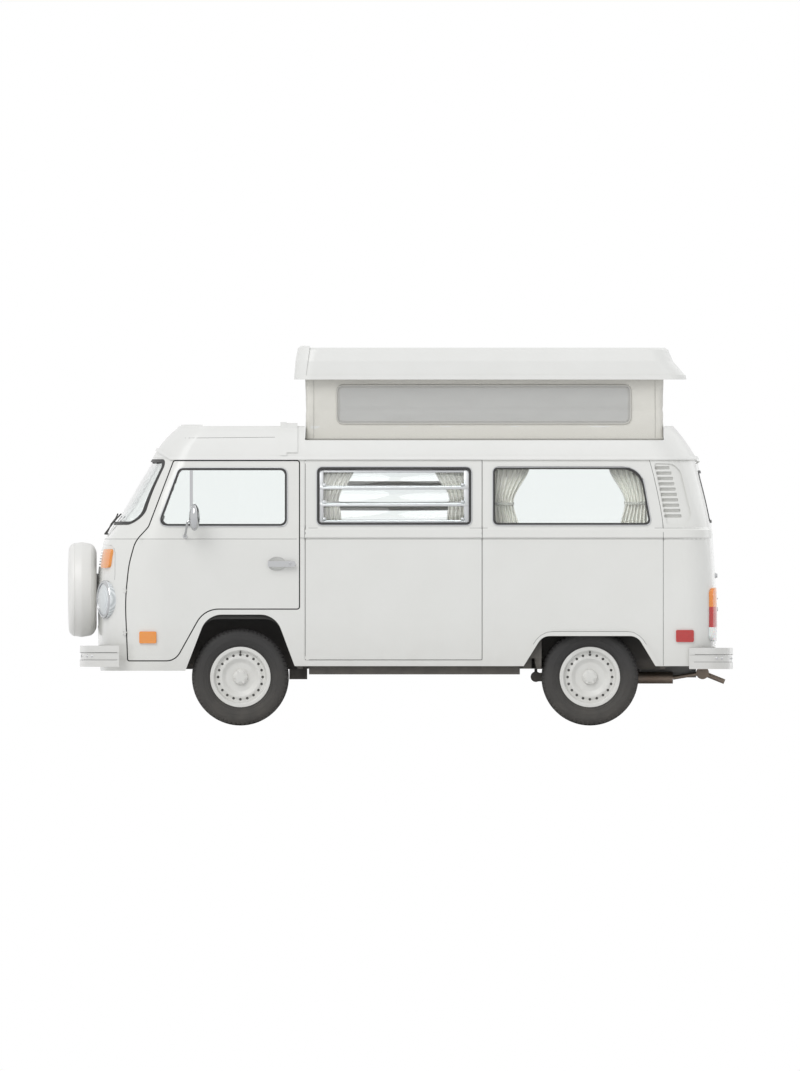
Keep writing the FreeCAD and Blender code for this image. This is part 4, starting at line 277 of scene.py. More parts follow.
# %% Paint, resin, rubber and plastic
finishes = {
    "paint": coated(
        "body paint", (0.73, 0.73, 0.705), (0.69, 0.69, 0.66), (0.22, 0.34), 900, 0.00003,
        dusty=0.34, Coat_Weight=0.6, Coat_Roughness=0.06,
    ),
    "white_grp": coated(
        "moulded resin", (0.76, 0.76, 0.74), (0.71, 0.71, 0.685), (0.34, 0.5), 260, 0.00012,
        Coat_Weight=0.2, Coat_Roughness=0.2,
    ),
    "bumper_paint": coated(
        "bumper paint", (0.68, 0.68, 0.66), (0.63, 0.63, 0.61), (0.26, 0.4), 700, 0.00004,
        dusty=0.5, Coat_Weight=0.4, Coat_Roughness=0.1,
    ),
    "seal_rubber": coated(
        "window rubber", (0.022, 0.022, 0.022), (0.035, 0.034, 0.033), (0.5, 0.7), 500, 0.0001
    ),
    "tyre": coated(
        "tyre rubber", (0.022, 0.022, 0.023), (0.04, 0.038, 0.036), (0.62, 0.85), 420, 0.00025,
        dusty=0.2, reach=0.5,
    ),
    "wheel_paint": coated(
        "wheel paint", (0.72, 0.72, 0.70), (0.66, 0.66, 0.63), (0.3, 0.45), 600, 0.00005,
        dusty=0.35, reach=0.9, Coat_Weight=0.3, Coat_Roughness=0.1,
    ),
    "black_paint": coated(
        "chassis paint", (0.03, 0.03, 0.03), (0.055, 0.05, 0.045), (0.4, 0.65), 180, 0.0003,
        dusty=0.6,
    ),
    "floor_paint": coated(
        "floor paint", (0.22, 0.22, 0.215), (0.17, 0.17, 0.165), (0.5, 0.7), 90, 0.0005,
        dusty=0.5,
    ),
    "black_plastic": coated(
        "grained plastic", (0.03, 0.03, 0.03), (0.045, 0.044, 0.042), (0.45, 0.62), 800, 0.0003
    ),
    "spare_vinyl": coated(
        "cover vinyl", (0.79, 0.785, 0.76), (0.74, 0.735, 0.71), (0.36, 0.52), 420, 0.0002,
        dusty=0.2, reach=1.0, Coat_Weight=0.15, Coat_Roughness=0.25,
    ),
}
print("Coated finishes:", sorted(finishes))

# %% [markdown]
# Bright metal shows how it was worked. Cast iron is coarse, rolled aluminium
# and polished rod have fine lines, and chrome is nearly a mirror with a faint
# haze where it is handled.

# %% Metals
metals = {
    "aluminium": (
        "louvre aluminium", (0.56, 0.57, 0.58), (0.50, 0.51, 0.52), (0.34, 0.48), 500, 0.00004
    ),
    "chrome": (
        "chrome plate", (0.55, 0.556, 0.565), (0.50, 0.505, 0.515), (0.05, 0.12), 250, 0.00001
    ),
    "bright_rod": ("bright rod", (0.50, 0.50, 0.51), (0.44, 0.44, 0.45), (0.2, 0.34), 700, 0.00003),
    "engine_metal": (
        "engine casting", (0.26, 0.26, 0.255), (0.19, 0.18, 0.17), (0.5, 0.75), 140, 0.0008
    ),
    "exhaust_steel": (
        "exhaust steel", (0.30, 0.27, 0.24), (0.24, 0.17, 0.12), (0.45, 0.7), 120, 0.0004
    ),
}
for slot, values in metals.items():
    finishes[slot] = coated(*values, Metallic=1.0)

# %% [markdown]
# Glass keeps a plain Transmission. A shadow ray goes straight through it here,
# by a Transparent surface mixed in for shadow rays only, so daylight reaches
# the cab as it does through a real pane.


# %% Window glass
def clear(name, colour):
    """Clear glass or plastic that lets shadow rays through."""
    finish, tree, surface = principled(
        name,
        Base_Color=(*colour, 1.0),
        Roughness=0.0,
        Transmission_Weight=1.0,
        IOR=1.45,
    )
    path = tree.nodes.new("ShaderNodeLightPath")
    open_way = add_node(tree, "ShaderNodeBsdfTransparent", Color=(*colour, 1.0))
    choose = tree.nodes.new("ShaderNodeMixShader")
    wires(
        tree,
        (path, "Is Shadow Ray", choose, "Fac"),
        (surface, "BSDF", choose, 1),
        (open_way, "BSDF", choose, 2),
    )
    wire(tree, choose.outputs["Shader"], tree.nodes["Material Output"].inputs["Surface"])
    return finish


finishes["glass"] = clear("window glass", (0.955, 0.978, 0.972))

# %% [markdown]
# A headlamp lens is moulded in vertical flutes that spread the beam. A Wave
# texture across Y, read as a height, draws them on the CAD lens, and the
# silver bowl behind shows as a pale grey.

# %% Headlamp glass with its flutes
lamp, lamp_tree, lamp_surface = principled(
    "fluted lamp glass", Metallic=0.0, IOR=1.5, Coat_Weight=1.0, Coat_Roughness=0.02
)
lamp_flutes = on_object(lamp_tree, "ShaderNodeTexWave", bands_direction="Y", Scale=22.0)
figured(
    lamp_tree, lamp_surface, lamp_flutes.outputs["Fac"], 0.0016, (0.08, 0.2),
    (0.50, 0.53, 0.54), (0.74, 0.77, 0.78),
)
finishes["lamp_glass"] = lamp

# %% [markdown]
# The signal lenses are amber in front. The tall tail lamps have an amber turn
# lamp on top, a red tail lamp in the middle and a clear reversing lamp below.
# Steps in Object X and Z choose between them, and prisms are moulded behind.

# %% Signal lenses
tail_amber_z = 0.815
tail_red_z = 0.675
behind_x = 1.0
rear_marker_x = 2.05
lens_clear, lens_red = (0.78, 0.78, 0.76), (0.45, 0.012, 0.01)
tail_amber, front_amber = (0.80, 0.24, 0.02), (0.80, 0.27, 0.03)
signal, signal_tree, signal_surface = principled(
    "signal lenses", Coat_Weight=1.0, Coat_Roughness=0.05, Subsurface_Weight=0.15
)
signal_split = on_object(signal_tree, "ShaderNodeSeparateXYZ")
signal_ribs = on_object(signal_tree, "ShaderNodeTexWave", bands_direction="Z", Scale=38.0)
figured(signal_tree, signal_surface, signal_ribs.outputs["Fac"], 0.0008, (0.12, 0.3))


def stepped(axis, limit, before, after):
    """One colour before a place along X or Z, and another past it."""
    step = add_node(signal_tree, "ShaderNodeMath", operation="GREATER_THAN")
    wire(signal_tree, signal_split.outputs[axis], step.inputs[0])
    step.inputs[1].default_value = limit
    return mixed(signal_tree, step.outputs["Value"], before, after)


lens_colour = stepped("Z", tail_red_z, lens_clear, lens_red)
lens_colour = stepped("Z", tail_amber_z, lens_colour, tail_amber)
lens_colour = stepped("X", rear_marker_x, lens_red, lens_colour)
lens_colour = stepped("X", behind_x, front_amber, lens_colour)
wire(signal_tree, lens_colour, signal_surface.inputs["Base Color"])
finishes["signal_plastic"] = signal

# %% [markdown]
# Cloth is rough and shows its threads. Canvas is coarse, curtain cloth finer,
# and the seats have a tight upholstery weave. A soft sheen stands for the fuzz
# that catches light along a fold.


# %% Cloths
def woven(name, colour, shade, threads, depth, sheen=0.25):
    """A cloth finish whose tone and relief follow its threads."""
    finish, tree, surface = principled(name, Sheen_Weight=sheen, Sheen_Roughness=0.5)
    threads_here = place_group(tree, weave, Threads=threads, Depth=depth)
    wire(tree, threads_here.outputs["Normal"], surface.inputs["Normal"])
    tone = mixed(tree, threads_here.outputs["Thread"], shade, colour)
    wear = on_object(tree, "ShaderNodeTexNoise", Scale=5.0, Detail=5.0)
    faded = mixed(tree, ranged(tree, wear.outputs["Fac"], 0.0, 0.22), tone, shade)
    wire(tree, faded, surface.inputs["Base Color"])
    wire(tree, ranged(tree, wear.outputs["Fac"], 0.75, 0.95), surface.inputs["Roughness"])
    return finish


cloths = {
    "canvas": ("tent canvas", (0.80, 0.785, 0.73), (0.70, 0.685, 0.63), 260, 0.0004),
    "curtain_cloth": ("curtain cloth", (0.87, 0.855, 0.80), (0.80, 0.78, 0.72), 420, 0.0002),
    "seat_vinyl": ("seat cloth", (0.26, 0.25, 0.235), (0.17, 0.165, 0.155), 330, 0.0004),
    "bed_fabric": ("bed cloth", (0.50, 0.47, 0.41), (0.38, 0.355, 0.31), 240, 0.0005),
}
for slot, values in cloths.items():
    finishes[slot] = woven(*values)
screen_mesh = woven("insect screen", (0.68, 0.68, 0.66), (0.44, 0.44, 0.425), 520, 0.0003, 0.0)
piping_cloth = woven("piping cloth", (0.62, 0.61, 0.57), (0.5, 0.49, 0.455), 380, 0.0002)

# %% [markdown]
# The cupboard is faced with wood laminate. Stretched noise gives long grain,
# and a band of contrast in it gives the darker figure.

# %% Wood laminate
wood, wood_tree, wood_surface = principled(
    "wood laminate", Coat_Weight=0.25, Coat_Roughness=0.2
)
wood_turn = on_object(wood_tree, "ShaderNodeMapping", Scale=(2.0, 40.0, 40.0))
wood_grain = add_node(wood_tree, "ShaderNodeTexNoise", Scale=1.6, Detail=8.0, Distortion=0.6)
wire(wood_tree, wood_turn.outputs["Vector"], wood_grain.inputs["Vector"])
figured(
    wood_tree, wood_surface, wood_grain.outputs["Fac"], 0.0003, (0.35, 0.55),
    (0.36, 0.22, 0.11), (0.60, 0.44, 0.27),
)
finishes["wood_laminate"] = wood

# %% [markdown]
# Each CAD node names its material slot in the record, so one loop dresses the
# whole frame.

# %% Dress the CAD nodes
slot_of = {part["node"]: part["material_slot"] for part in frame["record"]["subparts"]}
for node_name, node in nodes.items():
    for place in node.material_slots:
        place.material = finishes[slot_of[node_name]]
print("Slots in use:", sorted(set(slot_of.values())))

# %% [markdown]
# ## Helpers for making pieces
# Each new piece is a bmesh that ends as one object at the origin, with its
# place in its mesh, riding on the CAD body that carries it. Parts of a piece
# are made one at a time and poured into it.


# %% Turning a bmesh into a piece
both_sides = ((-1, "left"), (1, "right"))


def finished(name, shape, body, slot, finish=None, sharp=32.0, recalc=True):
    """Ends a bmesh as an object that rides on a body and takes a slot's finish."""
    if recalc:
        bmesh.ops.recalc_face_normals(shape, faces=shape.faces)
    mesh = bpy.data.meshes.new(name)
    shape.to_mesh(mesh)
    shape.free()
    mesh.materials.append(finish or finishes[slot])
    mesh.shade_smooth()
    mesh.set_sharp_from_angle(angle=math.radians(sharp))
    piece = bpy.data.objects.new(name, mesh)
    bpy.context.scene.collection.objects.link(piece)
    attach(piece, body)
    return piece


def thickened(piece, thickness, offset=0.0):
    """Gives a sheet its thickness, by default half on each side."""
    wall = piece.modifiers.new("thickness", "SOLIDIFY")
    wall.thickness = thickness
    wall.offset = offset


# %% [markdown]
# Many fittings are several simple solids made as one piece. They are built as
# bmeshes and poured together, so that a fitting moves as one mesh.
# A rounded block is a cube that is scaled first and bevelled after, so that
# its edges keep one radius.


# %% Pouring, rounding and blocks
def poured(target, *parts):
    """Adds bmeshes to a target bmesh and frees them."""
    for part in parts:
        carrier = bpy.data.meshes.new("carrier")
        part.to_mesh(carrier)
        part.free()
        target.from_mesh(carrier)
        bpy.data.meshes.remove(carrier)
    return target


def joined(*parts):
    """Several bmeshes poured into a new one."""
    return poured(bmesh.new(), *parts)


def bevelled(shape, edges, width, segments):
    """Rounds edges of a bmesh."""
    bmesh.ops.bevel(
        shape, geom=edges, offset=width, offset_type="OFFSET",
        affect="EDGES", segments=segments, profile=0.5, material=-1,
    )


def block(low, high, round_by=0.0, segments=3):
    """A block between two corners, with rounded edges."""
    shape = bmesh.new()
    low, high = Vector(low), Vector(high)
    bmesh.ops.create_cube(shape, size=1.0)
    bmesh.ops.scale(shape, vec=high - low, verts=shape.verts)
    bmesh.ops.translate(shape, vec=(high + low) / 2, verts=shape.verts)
    if round_by:
        bevelled(shape, shape.edges[:], round_by, segments)
    return shape


# %% [markdown]
# Knobs, rims, drums and tyres are round about an axis. They are spun from a
# half section, as on a lathe, and then tipped to their own axis. Rods, beads
# and piping are tubes, which a bevelled curve gives in one step.


# %% Turned solids and tubes
def turned(profile, centre, axis, steps=48, closed=False):
    """Spins (radius, height) points into a solid about an axis."""
    shape = bmesh.new()
    points = [shape.verts.new((radius, 0.0, height)) for radius, height in profile]
    for first, second in zip(points, points[1:]):
        shape.edges.new((first, second))
    if closed:
        shape.edges.new((points[-1], points[0]))
    bmesh.ops.spin(
        shape, geom=shape.verts[:] + shape.edges[:], cent=(0, 0, 0), axis=(0, 0, 1),
        angle=2 * math.pi, steps=steps, use_merge=True,
    )
    bmesh.ops.remove_doubles(shape, verts=shape.verts, dist=1e-6)
    bmesh.ops.dissolve_degenerate(shape, dist=1e-7, edges=shape.edges)
    turn = Vector((0, 0, 1)).rotation_difference(Vector(axis)).to_matrix()
    bmesh.ops.rotate(shape, cent=(0, 0, 0), matrix=turn, verts=shape.verts)
    bmesh.ops.translate(shape, vec=Vector(centre), verts=shape.verts)
    return shape


def tube(points, radius, closed=False, sides=4):
    """A tube that follows points, made from a bevelled curve."""
    curve = bpy.data.curves.new("tube", "CURVE")
    curve.dimensions = "3D"
    curve.bevel_depth = radius
    curve.bevel_resolution = sides
    curve.use_fill_caps = not closed
    line = curve.splines.new("POLY")
    line.points.add(len(points) - 1)
    for place, point in zip(line.points, points):
        place.co = (*point, 1.0)
    line.use_cyclic_u = closed
    carrier = bpy.data.objects.new("tube", curve)
    mesh = bpy.data.meshes.new_from_object(carrier)
    shape = bmesh.new()
    shape.from_mesh(mesh)
    bpy.data.objects.remove(carrier)
    bpy.data.curves.remove(curve)
    bpy.data.meshes.remove(mesh)
    return shape


# %% [markdown]
# Sheet metal and cloth start flat or as an open line. One helper draws an open
# edge out into a wall, and another lays a grid whose points a function places.


# %% Sheets
def drawn_out(shape, edges):
    """Extrudes open edges, and gives the new points and the new open edges."""
    made = bmesh.ops.extrude_edge_only(shape, edges=edges)["geom"]
    points = [part for part in made if isinstance(part, bmesh.types.BMVert)]
    chosen = set(points)
    rim = [
        part for part in made
        if isinstance(part, bmesh.types.BMEdge) and chosen.issuperset(part.verts)
    ]
    return points, rim


def grid_between(columns, rows, low, high, place):
    """A grid between two (along, up) corners, whose points a function places."""
    shape = bmesh.new()
    bmesh.ops.create_grid(shape, x_segments=columns, y_segments=rows, size=0.5)
    for vert in shape.verts:
        x = (low[0] + high[0]) / 2 + vert.co.x * (high[0] - low[0])
        z = (low[1] + high[1]) / 2 + vert.co.y * (high[1] - low[1])
        vert.co = place(x, z)
    return shape


# %% [markdown]
# Trim has to lie on curved panels. A ray from outside finds the panel's skin at
# a place along and a height, so outlines can be listed as flat X and Z points,
# each with the radius that rounds it, and then be laid on the body.


# %% Outlines laid on the body
def tree_of(*names):
    """A search tree over CAD nodes, for finding their skin with a ray."""
    shape = bmesh.new()
    for name in names:
        shape.from_mesh(nodes[name].data)
    tree = BVHTree.FromBMesh(shape)
    shape.free()
    return tree


def side_y(tree, x, z, side=-1, default=0.85):
    """Where a CAD skin lies at a place along and a height, seen from one side."""
    hit = tree.ray_cast(Vector((x, side * 2.0, z)), Vector((0, -side, 0)))[0]
    return hit.y if hit else side * default


def end_x(tree, y, z, end=1, default=2.16):
    """Where a CAD skin lies across and at a height, seen from front or back."""
    hit = tree.ray_cast(Vector((end * 4.0, y, z)), Vector((-end, 0, 0)))[0]
    return hit.x if hit else end * default


# %% [markdown]
# An outline is a short list of corners with a radius each. Points are set at
# even steps along it, so that a tube or a sheet can follow a curved panel.


# %% Rounded outlines
def box_corners(low, high, radius):
    """The corners of a flat box as an outline with one radius."""
    places = ((low[0], low[1]), (high[0], low[1]), (high[0], high[1]), (low[0], high[1]))
    return [(*place, radius) for place in places]


def rounded_outline(corners, step=0.02):
    """Points round a closed outline of (along, up, radius) corners."""
    found = []
    count = len(corners)
    for index, (along, up, radius) in enumerate(corners):
        here = Vector((along, up))
        before = Vector(corners[index - 1][:2]) - here
        after = Vector(corners[(index + 1) % count][:2]) - here
        turn = before.angle(after) / 2
        back = radius / math.tan(turn) if radius else 0.0
        back = min(back, before.length * 0.49, after.length * 0.49)
        start, end = here + before.normalized() * back, here + after.normalized() * back
        bends = 8 if back else 0
        for number in range(bends + 1):
            share = number / bends if bends else 0.0
            found.append(start.lerp(here, share).lerp(here.lerp(end, share), share))
    spread = []
    for first, second in zip(found, found[1:] + found[:1]):
        parts = max(1, math.ceil((second - first).length / step))
        spread += [first.lerp(second, number / parts) for number in range(parts)]
    return [
        point for point, last in zip(spread, spread[-1:] + spread) if (point - last).length > 1e-5
    ]


def grown(points, by):
    """A closed outline moved outwards by a distance."""
    area = sum(a.x * b.y - b.x * a.y for a, b in zip(points, points[1:] + points[:1]))
    hand = 1.0 if area > 0 else -1.0
    moved = []
    for before, here, after in zip(points[-1:] + points, points, points[1:] + points[:1]):
        along = (after - before).normalized()
        moved.append(here + Vector((along.y, -along.x)) * hand * by)
    return moved


def laid_on_side(points, tree, side, sink, measured=None):
    """Flat (along, up) points placed a depth under a side's skin, which may be
    measured at other points, as beside a gap."""
    return [
        Vector((p.x, side_y(tree, m.x, m.y, side) - side * sink, p.y))
        for p, m in zip(points, measured or points)
    ]


print("Helpers ready")

# %% [markdown]
# ## Weather strips in the door gaps
# Behind the narrow gap round each door runs a hollow rubber strip. It closes
# the view into the cab and makes the panel lines read dark, as they do on the
# real body. It is a tube laid under the gap's outline.

# %% Outlines of doors and windows, in metres
cab_door_line = [
    (-1.5543, 1.816, 0.014), (-1.7267, 1.3618, 0.083), (-1.817, 1.2633, 0.178),
    (-1.861, 1.1074, 0.7), (-1.886, 0.8584, 1.4), (-1.8694, 0.448, 0.01),
    (-1.5483, 0.448, 0.10), (-1.3498, 0.8037, 0.17), (-0.697, 0.8037, 0.014),
    (-0.697, 1.816, 0.014),
]
cab_window_line = [
    (-1.5174, 1.7613, 0.0416), (-1.6601, 1.3769, 0.0476),
    (-0.7862, 1.3769, 0.0416), (-0.7862, 1.7613, 0.0416),
]
middle_window_line = box_corners((-0.567, 1.384), (0.481, 1.768), 0.032)
rear_window_line = [
    (0.642, 1.384, 0.032), (1.715, 1.384, 0.032), (1.647, 1.768, 0.15), (0.642, 1.768, 0.032),
]
sliding_door_line = box_corners((-0.652, 0.454), (0.556, 1.826), 0.02)
panel_gap = 0.008
strip_radius = 0.0075
strip_sink = 0.03
strip_inside_door = 0.012

# %% Weather strips
shell_tree = tree_of(
    "left_side", "right_side", "nose_panel", "windscreen_frame",
    "cab_door_left", "cab_door_right", "sliding_door", "rear_body",
)


def strip_round(line, side):
    """A weather strip in the gap round a door, under the door's own skin."""
    edge = rounded_outline(line)
    gap, on_door = grown(edge, panel_gap / 2), grown(edge, -strip_inside_door)
    laid = laid_on_side(gap, shell_tree, side, strip_sink, on_door)
    return tube(laid, strip_radius, closed=True)


strips = joined(*(strip_round(cab_door_line, side) for side in (-1, 1)))
poured(strips, strip_round(sliding_door_line, 1))
weather_strips = finished(
    "door_weather_strips", strips, "body", "seal_rubber"
)
print("Weather strips:", len(weather_strips.data.vertices), "vertices")

# %% [markdown]
# ## Bright beads in the window rubbers
# Each window rubber is locked by a narrow bright bead pressed into it. The
# bead lies on the rubber's face, half sunk, and follows the window's outline.

# %% Window beads
bead_radius = 0.0035
bead_grow = 0.009
bead_press = 0.0005
off_seal = 0.06
seal_tree = tree_of("window_seals", "cab_door_left_seal", "cab_door_right_seal")


def bead_round(line, side):
    """A bright bead round one side window."""
    points = grown(rounded_outline(line), bead_grow)
    laid = laid_on_side(points, seal_tree, side, bead_press)
    middle = sorted(abs(p.y) for p in laid)[len(laid) // 2]
    good = [p for p in laid if abs(abs(p.y) - middle) < off_seal]
    return tube(good, bead_radius, closed=True, sides=3)


beads = bmesh.new()
for side in (-1, 1):
    for line in (middle_window_line, rear_window_line):
        poured(beads, bead_round(line, side))
finished("window_beads", beads, "body", "aluminium")
for side, hand in both_sides:
    ring = bead_round(cab_window_line, side)
    finished(f"cab_door_{hand}_bead", ring, f"cab_door_{hand}", "aluminium")
print("Window beads on 6 windows")

# %% [markdown]
# ## Tyres with a road tread
# A van tyre has a flat tread cut by four straight grooves, shoulder blocks
# parted by cross cuts, and rings moulded on its walls. The section is spun
# once round; then every fourth slice of the shoulders is pressed in, which
# makes the blocks. The walls and beads keep the CAD tyre's size.

# %% Tyre section, as (radius, half width) points from bead to middle
tyre_pitches = 66
slices_a_pitch = 4
bead_point = (0.1985, 0.0480)
wall_points = [
    (0.1985, 0.0665), (0.2095, 0.0690), (0.2160, 0.0735), (0.2240, 0.0790),
    (0.2255, 0.0808), (0.2275, 0.0812), (0.2290, 0.0805), (0.2420, 0.0868),
    (0.2560, 0.0908), (0.2570, 0.0920), (0.2590, 0.0922), (0.2605, 0.0915),
    (0.2740, 0.0922), (0.2880, 0.0908), (0.2890, 0.0914), (0.2910, 0.0908),
    (0.2985, 0.0880), (0.3090, 0.0835), (0.3175, 0.0770),
]
tread_points = [
    (0.3250, 0.0690), (0.3285, 0.0620), (0.3298, 0.0560), (0.3306, 0.0480),
    (0.3226, 0.0468), (0.3226, 0.0412), (0.3314, 0.0400), (0.3322, 0.0300),
    (0.3326, 0.0200), (0.3246, 0.0188), (0.3246, 0.0132), (0.3328, 0.0120), (0.3330, 0.0),
]
tread_foot, tread_crown = 0.3165, 0.3245
middle_rib, shoulder_start = 0.014, 0.0475
shoulder_cut, middle_cut = 0.006, 0.003


def tyre_shape(centre, side):
    """One tyre about its wheel's axle."""
    section = [bead_point] + wall_points + tread_points
    section += [(radius, -width) for radius, width in reversed(section[:-1])]
    slices = tyre_pitches * slices_a_pitch
    shape = turned(section, (0, 0, 0), (0, 0, 1), slices, closed=True)
    for vert in shape.verts:
        radius = math.hypot(vert.co.x, vert.co.y)
        across = vert.co.z
        if radius < tread_foot or abs(across) < middle_rib:
            continue
        turn = round(math.atan2(vert.co.y, vert.co.x) / (2 * math.pi / slices))
        cut = (turn + (2 if across > 0 else 0)) % slices_a_pitch == 0
        shoulder = abs(across) > shoulder_start
        in_middle = radius > tread_crown and (turn // slices_a_pitch) % 2 == 0
        if cut and (shoulder or in_middle):
            scale = (radius - (shoulder_cut if shoulder else middle_cut)) / radius
            vert.co.x *= scale
            vert.co.y *= scale
    upright = Vector((0, 0, 1)).rotation_difference(Vector((0, side, 0))).to_matrix()
    bmesh.ops.rotate(shape, cent=(0, 0, 0), matrix=upright, verts=shape.verts)
    bmesh.ops.translate(shape, vec=centre, verts=shape.verts)
    return shape


def middle_of(node):
    """The middle of a CAD node's box."""
    low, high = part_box(node)
    return (low + high) / 2


# %% Four tyres
wheels = [(f"{end}_{hand}", side) for end in ("front", "rear") for side, hand in both_sides]
for wheel, side in wheels:
    node_name = f"tyre_{wheel}"
    shape = tyre_shape(middle_of(node_name), side)
    rubber = finished(f"road_{node_name}", shape, f"wheel_{wheel}", "tyre", sharp=24.0)
    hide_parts(node_name)
print("Tyre triangles each:", 2 * len(rubber.data.polygons))

# %% [markdown]
# Each wheel has a valve that stands in one of its holes. The valve is a short
# turned stem with a knurled cap.

# %% Valves
valve_profile = [
    (0.0, 0.036), (0.0042, 0.0355), (0.0045, 0.024), (0.0034, 0.023), (0.0034, 0.010),
    (0.0056, 0.008), (0.0056, 0.0), (0.0, 0.0),
]
valve_out, valve_up, valve_lean = 0.046, 0.168, 0.25
for wheel, side in wheels:
    foot = middle_of(f"tyre_{wheel}") + Vector((0.0, side * valve_out, valve_up))
    stem = turned(valve_profile, foot, (0.0, side, valve_lean), steps=14)
    finished(f"valve_{wheel}", stem, f"wheel_{wheel}", "black_plastic")
print("Valves:", len(wheels))

# %% [markdown]
# The brake drum closes the view through the holes of each wheel. It is a dark
# finned casting, turned about the wheel's own axis.

# %% Brake drums
drum_offset = 0.028
drum_profile = [
    (0.100, 0.002), (0.162, 0.002), (0.166, -0.002), (0.166, -0.008), (0.161, -0.010),
    (0.161, -0.016), (0.166, -0.018), (0.166, -0.024), (0.161, -0.026), (0.161, -0.032),
    (0.166, -0.034), (0.166, -0.042), (0.120, -0.050), (0.100, -0.050),
]
for wheel, side in wheels:
    centre = middle_of(f"tyre_{wheel}") + Vector((0, side * drum_offset, 0))
    drum = turned(drum_profile, centre, (0, side, 0), 60, closed=True)
    finished(f"brake_drum_{wheel}", drum, f"wheel_{wheel}", "engine_metal")
print("Brake drums:", len(wheels))

# %% [markdown]
# ## The tent
# The roof lifts on a tent of proofed canvas. It is one sheet, cut as a long
# strip, joined at its ends and stretched between the roof's foot and the cap.
# It starts as the rounded loop of the roof opening and is drawn up in rows.
# Then each point moves inwards: a little sag at mid height, the crease that
# folding leaves, and pulls that run to the corners.

# %% Tent outline
tent_low, tent_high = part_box("tent")
tent_corner = 0.045
tent_rows = 24
tent_foot_z = tent_low.z + 0.001
tent_top_z = tent_high.z - 0.002
sag_depth, fold_depth = 0.009, 0.0065
crease_depth, crease_up, crease_width = 0.003, 0.47, 0.035
pull_depth, pull_reach, pull_fade = 0.0035, 0.6, 0.16
tent_corners = box_corners(tent_low, tent_high, tent_corner)


def tent_inwards(x, y):
    """The way into the tent from a place on its wall."""
    middle = Vector((
        min(max(x, tent_low.x + tent_corner), tent_high.x - tent_corner),
        min(max(y, tent_low.y + tent_corner), tent_high.y - tent_corner),
    ))
    way = middle - Vector((x, y))
    return Vector((way.x, way.y, 0.0)).normalized()


def tent_depth(x, y, z):
    """How far the canvas lies inside its outline, from sag, crease and pulls."""
    up = (z - tent_foot_z) / (tent_top_z - tent_foot_z)
    hold = math.sin(math.pi * min(max(up, 0.0), 1.0))
    corner = min(x - tent_low.x, tent_high.x - x, pull_reach)
    corner += min(y - tent_low.y, tent_high.y - y, pull_reach)
    sag = sag_depth * hold
    crease = crease_depth * math.exp(-(((up - crease_up) / crease_width) ** 2))
    folds = fold_depth * hold * noise.noise(Vector((x * 5.0, y * 5.0, z * 11.0)))
    pull = pull_depth * hold * math.sin(38.0 * corner - 22.0 * z) * math.exp(-corner / pull_fade)
    return max(0.0, 0.001 + sag + crease + folds + pull)


# %% Tent sheet
tent_shape = bmesh.new()
tent_loop = rounded_outline(tent_corners, step=0.022)
ring_verts = [tent_shape.verts.new((p.x, p.y, tent_foot_z)) for p in tent_loop]
ring_edges = [
    tent_shape.edges.new(pair) for pair in zip(ring_verts, ring_verts[1:] + ring_verts[:1])
]
row_rise = (tent_top_z - tent_foot_z) / tent_rows
for _ in range(tent_rows):
    raised, ring_edges = drawn_out(tent_shape, ring_edges)
    bmesh.ops.translate(tent_shape, vec=(0, 0, row_rise), verts=raised)
for vert in tent_shape.verts:
    x, y, z = vert.co
    vert.co += tent_inwards(x, y) * tent_depth(x, y, z)
tent_cloth = finished("tent_canvas", tent_shape, "pop_top", "canvas", sharp=80)
thickened(tent_cloth, 0.0014, offset=-1.0)
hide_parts("tent")

# %% [markdown]
# Each long side has a wide insect screen with round corners. The screen is a
# finer sheet a millimetre proud of the canvas, and a sewn piping covers its
# edge. Both read the canvas's own depth, so they follow its sag.

# %% Screens and piping
screen_low, screen_high, screen_corner = (-0.436, 2.074), (1.581, 2.336), 0.048
screen_outline = rounded_outline(box_corners(screen_low, screen_high, screen_corner))
screen_proud, piping_proud, stitch_proud = 0.0012, 0.0035, 0.0022


def on_canvas(x, z, side, proud):
    """A place a little outside the canvas on one long side."""
    y = side * abs(tent_low.y)
    return Vector((x, y - side * (tent_depth(x, y, z) - proud), z))


def on_screen(x, z):
    """Whether a place lies inside the screen's rounded rectangle."""
    near_x = min(max(x, screen_low[0] + screen_corner), screen_high[0] - screen_corner)
    near_z = min(max(z, screen_low[1] + screen_corner), screen_high[1] - screen_corner)
    return math.hypot(x - near_x, z - near_z) <= screen_corner


for side, hand in both_sides:
    screen = grid_between(
        168, 22, screen_low, screen_high, lambda x, z: on_canvas(x, z, side, screen_proud)
    )
    outside = [face for face in screen.faces if not on_screen(*face.calc_center_median().xz)]
    bmesh.ops.delete(screen, geom=outside, context="FACES")
    screen_area = sum(face.calc_area() for face in screen.faces)
    screen_piece = finished(
        f"tent_screen_{hand}", screen, "pop_top", "canvas", screen_mesh, sharp=80, recalc=False
    )
    thickened(screen_piece, 0.0006)
    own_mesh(screen_piece)
    edge = [on_canvas(p.x, p.y, side, piping_proud) for p in screen_outline]
    stitches = [on_canvas(p.x, p.y, side, stitch_proud) for p in grown(screen_outline, -0.016)]
    ring = tube(edge, 0.0058, closed=True)
    poured(ring, tube(stitches, 0.0016, closed=True, sides=2))
    ring_piece = finished(
        f"tent_piping_{hand}", ring, "pop_top", "canvas", piping_cloth, sharp=60
    )
    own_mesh(ring_piece)

# %% [markdown]
# At the foot the canvas is held by a bolt rope in a hem, and at the corners by
# a doubled seam. They are thin tubes laid on the sheet.

